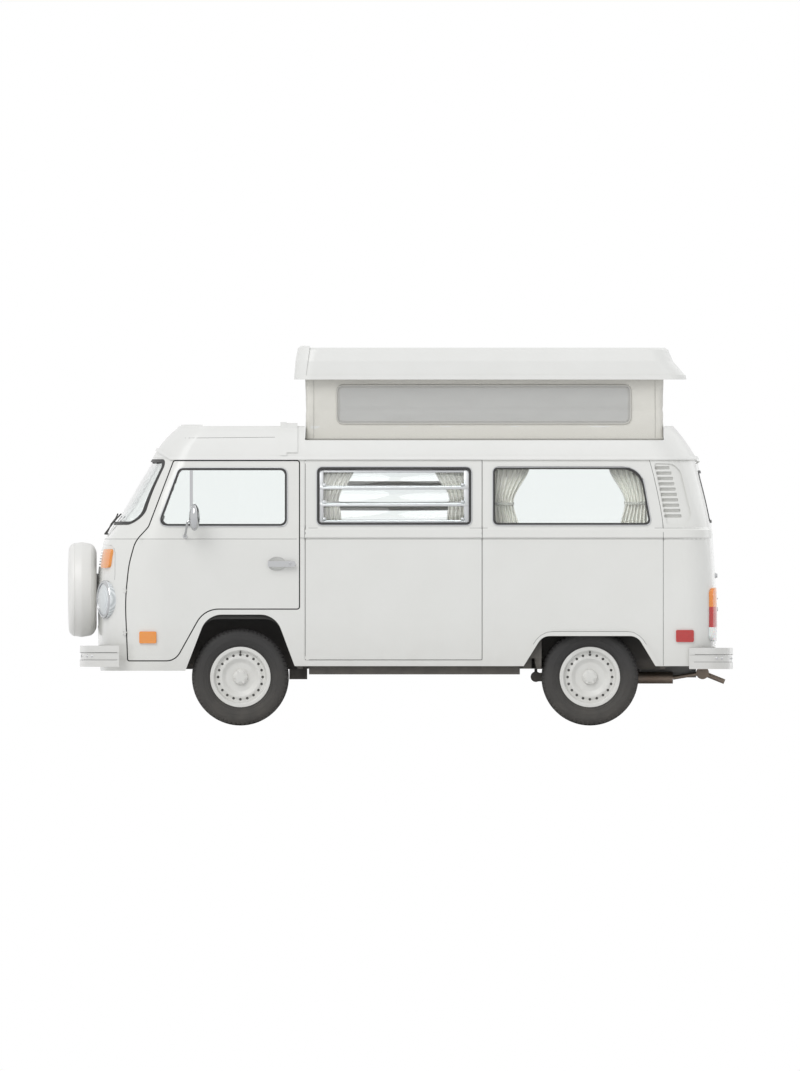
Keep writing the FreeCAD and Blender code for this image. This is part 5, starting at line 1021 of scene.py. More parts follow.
# %% Hem and corner seams
hem_height, hem_inwards = 0.008, 0.0015
hem_line = [
    Vector((p.x, p.y, tent_foot_z + hem_height)) + tent_inwards(p.x, p.y) * hem_inwards
    for p in tent_loop
]
hem = tube(hem_line, 0.0055, closed=True)
seam_count = 22
seam_rise = tent_top_z - tent_foot_z - 0.03
for corner_x in (tent_low.x + 0.06, tent_high.x - 0.06):
    for side in (-1, 1):
        heights = [tent_foot_z + seam_rise * n / seam_count for n in range(seam_count + 1)]
        corner_seam = [on_canvas(corner_x, z, side, screen_proud) for z in heights]
        poured(hem, tube(corner_seam, 0.0022, sides=2))
hem_piece = finished("tent_hem", hem, "pop_top", "canvas", piping_cloth, sharp=60)
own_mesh(hem_piece)
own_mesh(tent_cloth)

# %% [markdown]
# ## Curtains
# The curtains hang in soft pleats and are tied back at the ends of the four
# living-room windows. Each is a grid whose rows run from header to hem. A row's
# pleats are as deep as they must be for the cloth to keep its width where the
# tie gathers it, which a short search finds.

# %% Curtains: tie height, (left, right) edges at header, tie and hem, cloth width
curtain_header_z = 1.793
curtain_hem_z = 1.362
curtain_y = 0.707
curtain_pleats = 7
deepest_pleat = 0.019
curtain_looks = {
    "front_forward": (1.545, (-0.582, -0.298), (-0.582, -0.411), (-0.582, -0.376), 0.40),
    "front_rearward": (1.545, (0.215, 0.497), (0.323, 0.497), (0.292, 0.497), 0.40),
    "rear_forward": (1.525, (0.626, 0.889), (0.626, 0.775), (0.626, 0.813), 0.38),
    "rear_rearward": (1.530, (1.427, 1.694), (1.541, 1.694), (1.509, 1.694), 0.38),
}


def pleated_length(width, depth, pleats):
    """How long a row of pleats is when it is pulled flat."""
    samples = 24 * pleats
    points = [
        Vector((width * n / samples, depth * math.sin(2 * math.pi * pleats * n / samples)))
        for n in range(samples + 1)
    ]
    return sum((b - a).length for a, b in zip(points, points[1:]))


def pleat_depth(width, cloth):
    """The pleat depth that takes up the whole width of the cloth."""
    low, high = 0.0, deepest_pleat
    for _ in range(16):
        middle = (low + high) / 2
        if pleated_length(width, middle, curtain_pleats) < cloth:
            low = middle
        else:
            high = middle
    return (low + high) / 2


def eased(share):
    """A soft step from 0 to 1."""
    return share * share * (3 - 2 * share)


def curtain_edges(z, look):
    """The curtain's two edges at a height, gathered softly at the tie."""
    tie_z, header, tied, foot, cloth = look
    if z >= tie_z:
        share = eased((curtain_header_z - z) / (curtain_header_z - tie_z))
        pair = zip(header, tied)
    else:
        share = eased((tie_z - z) / (tie_z - curtain_hem_z))
        pair = zip(tied, foot)
    return [first + (second - first) * share for first, second in pair]


# %% Curtains and ties
curtain_columns, curtain_levels = 84, 30
tie_radius, tie_steps, tie_lines = 0.0035, 40, (0.0, -0.006, 0.006)
drape_height = curtain_header_z - curtain_hem_z


def curtain_drape(look, side):
    """One pleated curtain, gathered at its tie."""
    tie_z, *_, cloth = look
    drape = bmesh.new()
    bmesh.ops.create_grid(
        drape, x_segments=curtain_columns, y_segments=curtain_levels, size=0.5
    )
    depths = {}
    for vert in drape.verts:
        along, up = vert.co.x + 0.5, vert.co.y + 0.5
        z = curtain_hem_z + drape_height * up
        left, right = curtain_edges(z, look)
        key = round(z, 5)
        if key not in depths:
            depths[key] = pleat_depth(right - left, cloth)
        drift = 0.25 * math.sin(7.0 * up + 3.0 * along)
        wave = math.sin(2 * math.pi * curtain_pleats * along + drift)
        sway = 0.0015 * noise.noise(Vector((along * 4.0, up * 3.0, tie_z * 9.0)))
        y = side * (curtain_y + depths[key] * wave + sway)
        vert.co = (left + (right - left) * along, y, z)
    return drape


def curtain_tie(look, side):
    """The tie of one curtain: three cords round its gathers."""
    tie_z, _, (left, right), *_ = look
    turns = [2 * math.pi * n / tie_steps for n in range(tie_steps)]
    middle = Vector(((left + right) / 2, side * curtain_y, tie_z))
    reach_x, reach_y, lift = (right - left) / 2 + 0.003, 0.021, 0.004
    band = [
        middle + Vector((reach_x * math.cos(a), reach_y * math.sin(a), lift * math.sin(a)))
        for a in turns
    ]
    lines = [[point + Vector((0, 0, by)) for point in band] for by in tie_lines]
    return joined(*(tube(line, tie_radius, closed=True) for line in lines))


# %% [markdown]
# Every curtain is a sheet of its own, hung from its rail and gathered by its
# tie.


# %% Hang the curtains
for side, hand in both_sides:
    for label, look in curtain_looks.items():
        drape_name = f"curtain_{hand}_{label}"
        drape = curtain_drape(look, side)
        drape_area = sum(face.calc_area() for face in drape.faces)
        cloth_piece = finished(
            drape_name, drape, "body", "curtain_cloth", sharp=80, recalc=False
        )
        thickened(cloth_piece, 0.0008)
        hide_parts("curtains")
        strap_piece = finished(
            "tie_" + drape_name, curtain_tie(look, side), "body", "curtain_cloth",
            piping_cloth, sharp=60,
        )

# %% Curtain rails
rail_radius = 0.004
rail_top_z = curtain_header_z + rail_radius
rails = bmesh.new()
for side in (-1, 1):
    for ends in ((-0.592, 0.506), (0.618, 1.700)):
        poured(rails, tube([(x, side * curtain_y, rail_top_z) for x in ends], rail_radius))
finished("curtain_rails", rails, "body", "bright_rod")
print("Curtains:", 2 * len(curtain_looks))

# %% [markdown]
# ## Seats, bench and mattress
# Foam under cloth swells between its seams. Each pad starts as a slightly small
# block with round edges, is remeshed into even faces, and is blown up by the
# Cloth simulation with no gravity. A cap on how far a point may move keeps the
# pad in the room of its CAD solid, and it stays flat where it rests.

# %% Padding by simulation
pad_frames = 20
pad_shrink, pad_swell = 0.008, 0.012


def padded_piece(name, low, high, slot, voxel, lean=0.0, rest_z=None, round_by=0.03):
    """A padded block: rounded, remeshed, swollen by cloth pressure and capped."""
    low, high = Vector(low), Vector(high)
    inset = Vector((pad_shrink, pad_shrink, pad_shrink))
    start = block(low + inset, high - inset, round_by, 4)
    middle = (low + high) / 2
    if lean:
        turn = Matrix.Rotation(lean, 3, "Y")
        bmesh.ops.rotate(start, cent=middle, matrix=turn, verts=start.verts)
    piece = finished(name, start, "body", slot, sharp=180)
    remesh = piece.modifiers.new("even faces", "REMESH")
    remesh.mode = "VOXEL"
    remesh.voxel_size = voxel
    applied(piece)
    before = [vert.co.copy() for vert in piece.data.vertices]
    cloth = piece.modifiers.new("swelling", "CLOTH")
    settings = cloth.settings
    settings.use_pressure = True
    settings.uniform_pressure_force = 4.0
    settings.effector_weights.gravity = 0.0
    settings.quality = 3
    settings.tension_stiffness = 25.0
    cloth.point_cache.frame_start = 1
    cloth.point_cache.frame_end = pad_frames
    for number in range(1, pad_frames + 1):
        bpy.context.scene.frame_set(number)
        bpy.context.evaluated_depsgraph_get()
    swollen = piece.evaluated_get(bpy.context.evaluated_depsgraph_get())
    after = [vert.co.copy() for vert in swollen.data.vertices]
    piece.modifiers.remove(cloth)
    for vert, old, new in zip(piece.data.vertices, before, after):
        move = new - old
        if move.length > pad_swell:
            move *= pad_swell / move.length
        place = old + move
        if rest_z is not None:
            place.z = max(place.z, rest_z)
        vert.co = place
    bpy.context.scene.frame_set(1)
    smooth = piece.modifiers.new("soft faces", "SMOOTH")
    smooth.factor = 0.5
    smooth.iterations = 4
    applied(piece)
    return piece


# %% [markdown]
# A modifier is written into the mesh before the next step reads it, and the
# sewn channels are pressed in last, because remeshing would take them away.


# %% Finishing a pad
def applied(piece):
    """Writes a piece's modifiers into its mesh."""
    kept = piece.evaluated_get(bpy.context.evaluated_depsgraph_get())
    mesh = bpy.data.meshes.new_from_object(kept)
    old = piece.data
    piece.modifiers.clear()
    piece.data = mesh
    bpy.data.meshes.remove(old)
    mesh.name = piece.name
    mesh.shade_smooth()


def channelled(piece, lines, depth, width):
    """Presses sewn channels into a pad's faces at places across."""
    for vert in piece.data.vertices:
        for line in lines:
            away = (vert.co.y - line) / width
            if abs(away) < 3.0:
                vert.co -= vert.normal * depth * math.exp(-away * away)


# %% Cab seats
seat_low, seat_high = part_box("cab_seats")
seat_x, seat_floor_z = seat_low.x, seat_low.z
seat_half, seat_middle = 0.235, 0.400
seat_voxel = 0.009
seat_channels = (-0.15, -0.075, 0.0, 0.075, 0.15)
for side, hand in both_sides:
    near, far = side * seat_middle - seat_half, side * seat_middle + seat_half
    cushion = padded_piece(
        f"cab_cushion_{hand}",
        (seat_x, near, seat_floor_z), (seat_x + 0.47, far, seat_floor_z + 0.172),
        "seat_vinyl", seat_voxel, rest_z=seat_floor_z + 0.001, round_by=0.04,
    )
    back = padded_piece(
        f"cab_backrest_{hand}",
        (seat_x + 0.395, near + 0.018, seat_floor_z + 0.165),
        (seat_x + 0.495, far - 0.018, seat_high.z - 0.006),
        "seat_vinyl", seat_voxel, lean=math.radians(13), round_by=0.035,
    )
    for pad in (cushion, back):
        channelled(pad, [side * seat_middle + offset for offset in seat_channels], 0.004, 0.006)
    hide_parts("cab_seats")
print("Cab seats padded")

# %% [markdown]
# The living room has a bench with a backrest, and a mattress on the rear deck
# behind it that makes the bed with the bench folded flat.

# %% Bench and mattress
bed_low, bed_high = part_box("bed")
bench_x, bench_rear_x = bed_low.x, bed_low.x + 0.346
bench_z = bed_low.z + 0.412
bed_half, mattress_half = 0.676, 0.688
bench_parts = {
    "bench_cushion": (
        (bench_x, -bed_half, bench_z - 0.13), (bench_rear_x - 0.105, bed_half, bench_z), 0.010
    ),
    "bench_backrest": (
        (bench_rear_x - 0.116, -bed_half, bench_z - 0.01),
        (bench_rear_x - 0.004, bed_half, bench_z + 0.330), 0.010,
    ),
    "mattress": (
        (bench_rear_x + 0.012, -mattress_half, 0.8935),
        (bed_high.x - 0.012, mattress_half, 0.998), 0.013,
    ),
}
for name, (low, high, voxel) in bench_parts.items():
    pad = padded_piece(name, low, high, "bed_fabric", voxel)
    channelled(pad, (-0.34, 0.0, 0.34), 0.005, 0.007)
    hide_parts("bed")
plinth = block(
    (bench_x + 0.02, -0.675, bed_low.z), (bench_rear_x - 0.01, 0.675, bench_z - 0.125), 0.004, 2
)
finished("bench_plinth", plinth, "body", "wood_laminate")
print("Bench padded")

# %% [markdown]
# ## Wheel housings
# Behind each arch a pressed housing keeps the road out of the body. Its edge
# follows the arch, and its inner wall stands far enough in for the steered
# wheel. The outline is drawn in, closed by a face, and given its thickness.

# %% Wheel housings: the arch's corners, and where the inner wall stands across
housing_lines = [
    (((-1.485, 0.388, 0), (-1.338, 0.733, 0.14), (-0.850, 0.733, 0.14), (-0.705, 0.388, 0)), 0.405),
    (((0.967, 0.388, 0), (0.967, 0.735, 0.10), (1.690, 0.735, 0.12), (1.785, 0.388, 0)), 0.565),
]
housing_mouth_y = 0.800
flange_width = 0.045


def housing_shell(line, inner, side):
    """One housing: its sheet drawn in from the mouth, its wall and its flange."""
    shell = bmesh.new()
    outline = rounded_outline(line, step=0.05)
    ring = [shell.verts.new((p.x, side * housing_mouth_y, p.y)) for p in outline]
    foot = min(vert.co.z for vert in ring)
    wider = grown([Vector((vert.co.x, vert.co.z)) for vert in ring], flange_width)
    rim = [shell.verts.new((p.x, side * housing_mouth_y, max(p.y, foot))) for p in wider]
    pairs = [
        (near, after, far, close)
        for near, after, close, far in zip(ring, ring[1:] + ring[:1], rim, rim[1:] + rim[:1])
        if max(near.co.z, after.co.z) >= foot + 1e-4
    ]
    inner_ring, inner_edges = drawn_out(shell, [shell.edges.new(pair[:2]) for pair in pairs])
    bmesh.ops.translate(shell, vec=(0, side * (inner - housing_mouth_y), 0), verts=inner_ring)
    bmesh.ops.contextual_create(shell, geom=inner_edges)
    for corners in pairs:
        shell.faces.new(corners)
    bmesh.ops.recalc_face_normals(shell, faces=shell.faces)
    return shell


# %% Four housings and the plates before the rear ones
housings = bmesh.new()
for line, inner in housing_lines:
    poured(housings, *(housing_shell(line, inner, side) for side in (-1, 1)))
for near_y, far_y in ((-0.801, -0.794), (0.794, 0.801)):
    poured(housings, block((0.790, near_y, 0.462), (0.968, far_y, 0.665)))
housing_piece = finished("wheel_housings", housings, "body", "black_paint", recalc=False)
thickened(housing_piece, 0.0025)
print("Wheel housings: 4")

# %% [markdown]
# ## The louvred window
# The middle window on the left is a frame of aluminium bars with three leaning
# glass slats between them, and a crank that works them. The bars are blocks
# sheared to the lean of the side, and each slat overhangs the bar below.

# %% Louvre frame
louvre_low, louvre_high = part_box("louvre_window")
pillar_x = 0.52
bar_heights = [(louvre_low.z, 1.414), (1.504, 1.532), (1.621, 1.649), (1.737, louvre_high.z)]
rail_places = [(louvre_low.x, -0.527), (0.434, louvre_high.x)]
clip_places = (-0.520, 0.427)
bar_depth = 0.030
bar_proud = -0.012
bar_round = 0.0035


def leaned(shape, proud):
    """Shears a flat shape to the left side's lean; its own Y is height off the skin."""
    for vert in shape.verts:
        vert.co.y = side_y(shell_tree, pillar_x, vert.co.z) - (vert.co.y + proud)
    bmesh.ops.reverse_faces(shape, faces=shape.faces)
    return shape


louvre_blocks = [
    ((louvre_low.x, -bar_depth, low_z), (louvre_high.x, 0, high_z), bar_round)
    for low_z, high_z in bar_heights
]
louvre_blocks += [
    ((low_x, -bar_depth, louvre_low.z), (high_x, 0.002, louvre_high.z), bar_round)
    for low_x, high_x in rail_places
]
louvre_blocks += [
    ((x - 0.012, -0.016, bar_top - 0.004), (x + 0.012, 0.006, bar_top + 0.014), 0.002)
    for _, bar_top in bar_heights[:-1] for x in clip_places
]
louvre_frame = joined(*(leaned(block(*box), bar_proud) for box in louvre_blocks))
frame_piece = finished("louvre_frame", louvre_frame, "body", "aluminium")
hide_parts("louvre_window")

# %% Louvre slats and crank
slat_ends = (-0.535, 0.442)
slat_thickness = 0.005
slat_overlap = 0.010
slat_foot_out, slat_lean = 0.012, 0.026
slats = bmesh.new()
for (_, bar_top), (bar_foot, _) in zip(bar_heights, bar_heights[1:]):
    low_z, high_z = bar_top - slat_overlap, bar_foot + slat_overlap
    pane = block((slat_ends[0], 0, low_z), (slat_ends[1], slat_thickness, high_z), 0.0015, 2)
    for vert in pane.verts:
        vert.co.y += slat_foot_out - slat_lean * (vert.co.z - low_z) / (high_z - low_z)
    poured(slats, leaned(pane, bar_proud - 0.006))
finished("louvre_slats", slats, "body", "glass")
crank_x, crank_z = 0.40, 1.40
crank_y = side_y(shell_tree, pillar_x, crank_z) + 0.05
crank_boss = [(0, 0.02), (0.009, 0.019), (0.010, 0.0), (0, 0)]
crank_arm = [
    (crank_x, crank_y + 0.016, crank_z),
    (crank_x - 0.040, crank_y + 0.020, crank_z + 0.012),
    (crank_x - 0.055, crank_y + 0.034, crank_z + 0.014),
]
crank = joined(
    turned(crank_boss, (crank_x, crank_y, crank_z), (0, 1, 0), 20), tube(crank_arm, 0.0035)
)
finished("louvre_crank", crank, "body", "aluminium")
print("Louvre bars:", len(bar_heights), "slats:", len(bar_heights) - 1)

# %% [markdown]
# ## Headlamps
# A headlamp sits in a plated rim that is turned from one profile: a thin lip
# on the glass, a rounded crown and a skirt that meets the nose. The lamp looks
# outwards by 20 degrees, so the rim is spun about that axis.

# %% Headlamp rims
lamp_yaw = math.radians(20)
lamp_place_y, lamp_place_z = 0.595, 0.866
lens_rise = 0.0337
rim_screw_drop = 0.1315
lamp_skin = tree_of("headlamps")
rim_profile = [
    (0.1085, 0.0115), (0.1105, 0.0165), (0.1160, 0.0190), (0.1225, 0.0170), (0.1285, 0.0105),
    (0.1322, 0.0030), (0.1328, -0.0060), (0.1328, -0.0300), (0.1295, -0.0300), (0.1295, 0.0),
    (0.1100, 0.0030),
]
screw_profile = [(0, 0.004), (0.0045, 0.003), (0.005, -0.004), (0, -0.004)]
for side, hand in both_sides:
    y = side * lamp_place_y
    middle = Vector((end_x(lamp_skin, y, lamp_place_z, -1) + lens_rise, y, lamp_place_z))
    ahead = Vector((-math.cos(lamp_yaw), side * math.sin(lamp_yaw), 0))
    screw = middle + ahead * 0.004 - Vector((0, 0, rim_screw_drop))
    rim = joined(
        turned(rim_profile, middle, ahead, 72, closed=True),
        turned(screw_profile, screw, (ahead.x, ahead.y, -0.6), 16),
    )
    finished(f"headlamp_rim_{hand}", rim, "body", "chrome", sharp=40)
print("Headlamp rims: 2")

# %% [markdown]
# ## Spare wheel cover
# The vinyl cover is sewn from a face, a band and a welt where they meet. The
# welt is a cord ring round the CAD cover, and the band has a sewn seam near
# its back edge.

# %% Cover welts
spare_low, spare_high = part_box("spare_cover")
spare_middle_z = (spare_low.z + spare_high.z) / 2
spare_tree = tree_of("spare_cover")
welt_steps = 96
cover_rings = ((spare_low.x + 0.044, 0.0042, 0.002), (spare_high.x - 0.052, 0.0030, 0.0015))


def radial_points(tree, centre, ways, sunk):
    """Points a depth under a skin, found by rays that come in to a centre."""
    hits = [(tree.ray_cast(centre + way * 3, -way)[0], way) for way in ways]
    return [hit - way * sunk for hit, way in hits if hit]


turns = [2 * math.pi * number / welt_steps for number in range(welt_steps)]
upright_ways = [Vector((0, math.cos(turn), math.sin(turn))) for turn in turns]
welts = bmesh.new()
for x, radius, sunk in cover_rings:
    ring = radial_points(spare_tree, Vector((x, 0, spare_middle_z)), upright_ways, sunk)
    poured(welts, tube(ring, radius, closed=True))
finished("spare_cover_welts", welts, "body", "spare_vinyl", sharp=60)
print("Cover welts:", len(cover_rings))

# %% [markdown]
# ## Locks, handles and small hardware
# The small bright parts are turned or are rounded blocks: lock barrels beside
# the cab handles, a lever on the sliding door with the cover of its rail, push
# buttons on the tailgate and the engine lid, and domed bolts on the bumpers.


# %% Small turned parts
def turned_head(shares, sunk, steps, centre, axis, radius, height):
    """A small head from shares of its radius and height, sunk into its panel."""
    profile = [(radius * wide, height * up) for wide, up in shares]
    return turned(profile + [(profile[-1][0], -sunk), (0.0, -sunk)], centre, axis, steps)


def button(*place_and_size):
    """A push button with a dished face and a round foot."""
    shares = [
        (0.0, 0.80), (0.55, 0.84), (0.72, 1.0), (0.86, 0.97), (0.92, 0.80), (0.92, 0.35),
        (1.18, 0.28), (1.25, 0.0),
    ]
    return turned_head(shares, 0.004, 28, *place_and_size)


def dome(*place_and_size):
    """A round bolt head."""
    shares = [(0.0, 1.0), (0.45, 0.93), (0.8, 0.62), (1.0, 0.15)]
    return turned_head(shares, 0.003, 20, *place_and_size)


# %% Door locks
lock_x, lock_z = -0.757, 1.1095
for side, hand in both_sides:
    lock_y = side_y(tree_of(f"cab_door_{hand}_fittings"), lock_x, lock_z, side)
    lock = button((lock_x, lock_y, lock_z), (0, side, 0), 0.0070, 0.0035)
    finished(f"cab_lock_{hand}", lock, f"cab_door_{hand}", "bright_rod")

# %% Bumper bolts
bumper_tree = tree_of("front_bumper", "rear_bumper")
front_bolt_z, rear_bolt_z = 0.477, 0.462
wrap_bolts = [
    (-2.150, front_bolt_z), (-2.116, front_bolt_z), (2.205, rear_bolt_z), (2.171, rear_bolt_z),
]
face_bolts = [
    (-1, front_bolt_z, (-0.62, -0.30, 0.30, 0.62)), (1, rear_bolt_z, (-0.60, -0.30, 0.30, 0.60)),
]
bolt_rays = [
    ((x, side * 2, z), (0, side, 0), 0.0085, 0.005) for side in (-1, 1) for x, z in wrap_bolts
]
bolt_rays += [
    ((end * 4, y, z), (end, 0, 0), 0.010, 0.006) for end, z, spots in face_bolts for y in spots
]
bolts = bmesh.new()
for start, way, radius, height in bolt_rays:
    hit = bumper_tree.ray_cast(Vector(start), -Vector(way))[0]
    if hit:
        poured(bolts, dome(hit, way, radius, height))
finished("bumper_bolts", bolts, "body", "chrome")

# %% Sliding door's rail cover
rail_z, rail_half_height = 1.262, 0.020


def on_right_panel(shape):
    """Lays a flat shape on the right side; its own Y is height off the skin."""
    for vert in shape.verts:
        vert.co.y += side_y(shell_tree, vert.co.x, vert.co.z, 1)
    return shape


cover = block(
    (0.60, -0.006, rail_z - rail_half_height), (1.70, 0.010, rail_z + rail_half_height)
)
long_edges = [e for e in cover.edges if abs(e.verts[0].co.x - e.verts[1].co.x) > 0.5]
bmesh.ops.subdivide_edges(cover, edges=long_edges, cuts=30)
bevelled(cover, [e for e in cover.edges if e.is_boundary or e.calc_face_angle(0) > 1.0], 0.004, 3)
finished("sliding_rail_cover", on_right_panel(cover), "body", "paint")

# %% Sliding door's lever
lever_x, lever_z = -0.560, 1.100
root_y = side_y(shell_tree, lever_x, lever_z, 1)
scutcheon = block(
    (lever_x - 0.030, -0.004, lever_z - 0.024), (lever_x + 0.030, 0.005, lever_z + 0.024), 0.003
)
lever_neck = [(lever_x, root_y, lever_z), (lever_x, root_y + 0.026, lever_z)]
lever_grip = block(
    (lever_x - 0.014, root_y + 0.020, lever_z - 0.013),
    (lever_x + 0.150, root_y + 0.033, lever_z + 0.013), 0.0055, 4,
)
lever = joined(on_right_panel(scutcheon), tube(lever_neck, 0.010, sides=6), lever_grip)
finished("sliding_door_lever", lever, "body", "chrome")

# %% Buttons of the tailgate, the engine lid and the fuel flap
back_tree = tree_of("tailgate", "engine_lid", "rear_body")
back_buttons = (("tailgate", 1.030, 0.016, 0.016), ("engine_lid", 0.800, 0.015, 0.012))
for body, z, radius, height in back_buttons:
    latch = button((end_x(back_tree, 0.0, z), 0.0, z), (1, 0, 0), radius, height)
    finished(f"{body}_button", latch, body, "chrome")
flap_low, flap_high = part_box("fuel_flap")
flap_x, flap_z = flap_high.x - 0.022, (flap_low.z + flap_high.z) / 2
flap_y = side_y(tree_of("fuel_flap"), flap_x, flap_z, 1)
flap_latch = button((flap_x, flap_y, flap_z), (0, 1, 0), 0.008, 0.005)
finished("fuel_flap_latch", flap_latch, "fuel_flap", "chrome")
print("Hardware placed, flap latch at", round(flap_y, 3))

# %% [markdown]
# ## Seams, and painted shade along pressed lines
# The body's joints, its belt crease and its pressed edges show as plain
# lines. Each is a thin dark bead laid along the skin: joints of panels get the
# thicker one, and creases get the thinner one, which is painted shade where a
# crease's shadow falls; a door's part of the belt line rides with the door.

# %% Joint lines, and crease lines for beads of painted shade, as (along, up) points
# Joint beads are the dark joints of panels; crease beads are painted shade.
joint_radius, crease_shade_radius, band_shade_radius = 0.0017, 0.0012, 0.0013
bead_sink = 0.0004
belt_z, ledge_z = 1.281, 1.356
rear_joint = [
    (1.710, 1.821), (1.738, 1.72), (1.765, 1.60), (1.785, 1.50), (1.798, 1.42), (1.805, 1.356),
    (1.805, 0.412),
]
left_joints = [
    [(-0.653, 0.452), (-0.653, 1.822)],
    [(0.560, 0.452), (0.560, 1.822)],
    [(-0.653, 0.452), (0.560, 0.452)],
]
nose_line = [
    (-1.995, 1.240), (-1.985, 1.236), (-1.966, 1.215), (-1.959, 1.190), (-1.960, 1.030),
    (-1.962, 1.000),
]
arch_line = [
    (0.911, 0.557), (0.935, 0.592), (0.965, 0.620), (1.005, 0.640), (1.045, 0.645), (1.560, 0.645),
    (1.600, 0.640), (1.640, 0.617), (1.670, 0.586), (1.688, 0.557),
]
roof_line = [(-1.480, 1.974), (-0.862, 1.980)]
door_belt_line = [(-1.800, belt_z), (-0.712, belt_z)]
side_creases = [nose_line, arch_line, [(1.745, ledge_z), (2.080, ledge_z)]]
hand_creases = {
    -1: [
        [(-0.690, belt_z), (2.090, belt_z)],
        [(-0.690, ledge_z), (-0.568, ledge_z)],
        [(0.475, ledge_z), (0.600, ledge_z)],
    ],
    1: [[(-0.640, belt_z), (0.548, belt_z)], [(1.705, belt_z), (2.090, belt_z)]],
}


# One bead serves a panel joint, and a line of painted shade along a crease.
def seam(line, tree, side, radius, sink=bead_sink, step=0.03):
    """A bead laid along an open line, with a point every few centimetres."""
    points = []
    for (x, z), (next_x, next_z) in zip(line, line[1:]):
        count = max(1, round(math.hypot(next_x - x, next_z - z) / step))
        points += [
            Vector((x + (next_x - x) * n / count, z + (next_z - z) * n / count))
            for n in range(count)
        ]
    laid = laid_on_side(points + [Vector(line[-1])], tree, side, sink)
    return tube(laid, radius, sides=2)


# %% Joint beads, and beads of painted shade along the creases, on both sides
roof_tree = tree_of("roof_base")
body_joint_and_shade_beads = bmesh.new()
for side, hand in both_sides:
    joints = [rear_joint] + (left_joints if side < 0 else [])
    lines = [(line, joint_radius) for line in joints]
    # Crease lines get the thinner dark bead, which is painted shade.
    lines += [(line, crease_shade_radius) for line in side_creases + hand_creases[side]]
    for line, radius in lines:
        poured(body_joint_and_shade_beads, seam(line, shell_tree, side, radius, radius * 0.35))
    poured(body_joint_and_shade_beads, seam(roof_line, roof_tree, side, crease_shade_radius))
    # The belt crease on each cab door gets a dark bead of painted shade.
    belt = seam(door_belt_line, shell_tree, side, crease_shade_radius)
    finished(f"cab_door_{hand}_belt", belt, f"cab_door_{hand}", "seal_rubber")

# %% Dark bands of painted shade along the pressed edges of the bumpers and the belt crease round the nose, as heights and angles
band_steps = 120
end_shade_bands = (
    (bumper_tree, -1.20, (0.450, 0.502), 131.5, 228.5),
    (bumper_tree, 1.30, (0.436, 0.488), -50.5, 50.5),
    (shell_tree, -1.20, (belt_z,), 126.4, 233.6),
)
for skin_tree, centre_x, heights, first, last in end_shade_bands:
    turns = [
        math.radians(first + (last - first) * number / band_steps)
        for number in range(band_steps + 1)
    ]
    level_ways = [Vector((math.cos(turn), math.sin(turn), 0)) for turn in turns]
    for height in heights:
        middle = Vector((centre_x, 0, height))
        band = radial_points(skin_tree, middle, level_ways, bead_sink)
        poured(body_joint_and_shade_beads, tube(band, band_shade_radius, sides=2))
# The joint beads and the bands and beads of painted shade make one piece.
finished("body_joint_and_shade_beads", body_joint_and_shade_beads, "body", "seal_rubber")
print("Seam beads laid")

# %% [markdown]
# ## Inside the cab
# Through the glass the cab shows a pair of dials in a hooded housing before
# the driver, a gear lever, three pedals, and a trim card with a winder and a
# pull on each door. Each is a few turned shapes and rounded blocks.

# %% Dials
dash_low, dash_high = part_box("dashboard")
dial_x, dial_z = dash_high.x - 0.002, dash_low.z + 0.115
dial_face_x = dial_x + 0.020
housing = block(
    (dial_x - 0.045, -0.53, dial_z - 0.062), (dial_face_x, -0.27, dial_z + 0.066), 0.014, 4
)
finished("dial_housing", housing, "body", "black_plastic")
bezel_profile = [
    (0.040, 0.0), (0.040, 0.006), (0.044, 0.009), (0.048, 0.006), (0.049, 0.0), (0.049, -0.006),
    (0.040, -0.006),
]
hub_profile = [(0, 0.004), (0.005, 0.003), (0.005, 0.0), (0, 0)]
mark_count, mark_start, mark_sweep = 9, -40, 260
mark_rise, needle_rise = Vector((0.0012, 0, 0)), Vector((0.002, 0, 0))
needle_way = Vector((0, math.cos(2.6), math.sin(2.6)))
bezels, marks = bmesh.new(), bmesh.new()
for y in (-0.46, -0.345):
    centre = Vector((dial_face_x, y, dial_z))
    poured(bezels, turned(bezel_profile, centre, (1, 0, 0), 48, closed=True))
    poured(bezels, turned(hub_profile, centre, (1, 0, 0), 20))
    for number in range(mark_count):
        angle = math.radians(mark_start + mark_sweep * number / (mark_count - 1))
        way = Vector((0, math.cos(angle), math.sin(angle)))
        line = [centre + way * reach + mark_rise for reach in (0.029, 0.036)]
        poured(marks, tube(line, 0.0009, sides=1))
    needle = [centre + needle_rise, centre + needle_way * 0.030 + needle_rise]
    poured(marks, tube(needle, 0.0011, sides=1))
finished("dial_bezels", bezels, "body", "chrome")
finished("dial_marks", marks, "body", "white_grp")

# %% Gear lever with its knob and boot
cab_floor_top = 0.533
gear_x = -1.56
gear_line = [(gear_x, 0.0, cab_floor_top), (-1.555, 0.0, 0.70), (-1.50, 0.0, 0.94)]
finished("gear_lever", tube(gear_line, 0.007), "body", "bright_rod")
knob_profile = [
    (0, 0.030), (0.016, 0.026), (0.023, 0.012), (0.022, -0.004), (0.012, -0.020), (0, -0.022),
]
boot_profile = [
    (0.0, 0.07), (0.016, 0.066), (0.022, 0.045), (0.034, 0.040), (0.040, 0.018), (0.056, 0.010),
    (0.060, 0.0), (0.0, 0.0),
]
knob = joined(
    turned(knob_profile, (-1.496, 0.0, 0.958), (0.22, 0, 1), 32),
    turned(boot_profile, (gear_x, 0.0, cab_floor_top), (0, 0, 1), 36),
)
finished("gear_knob_and_boot", knob, "body", "black_plastic", sharp=50)

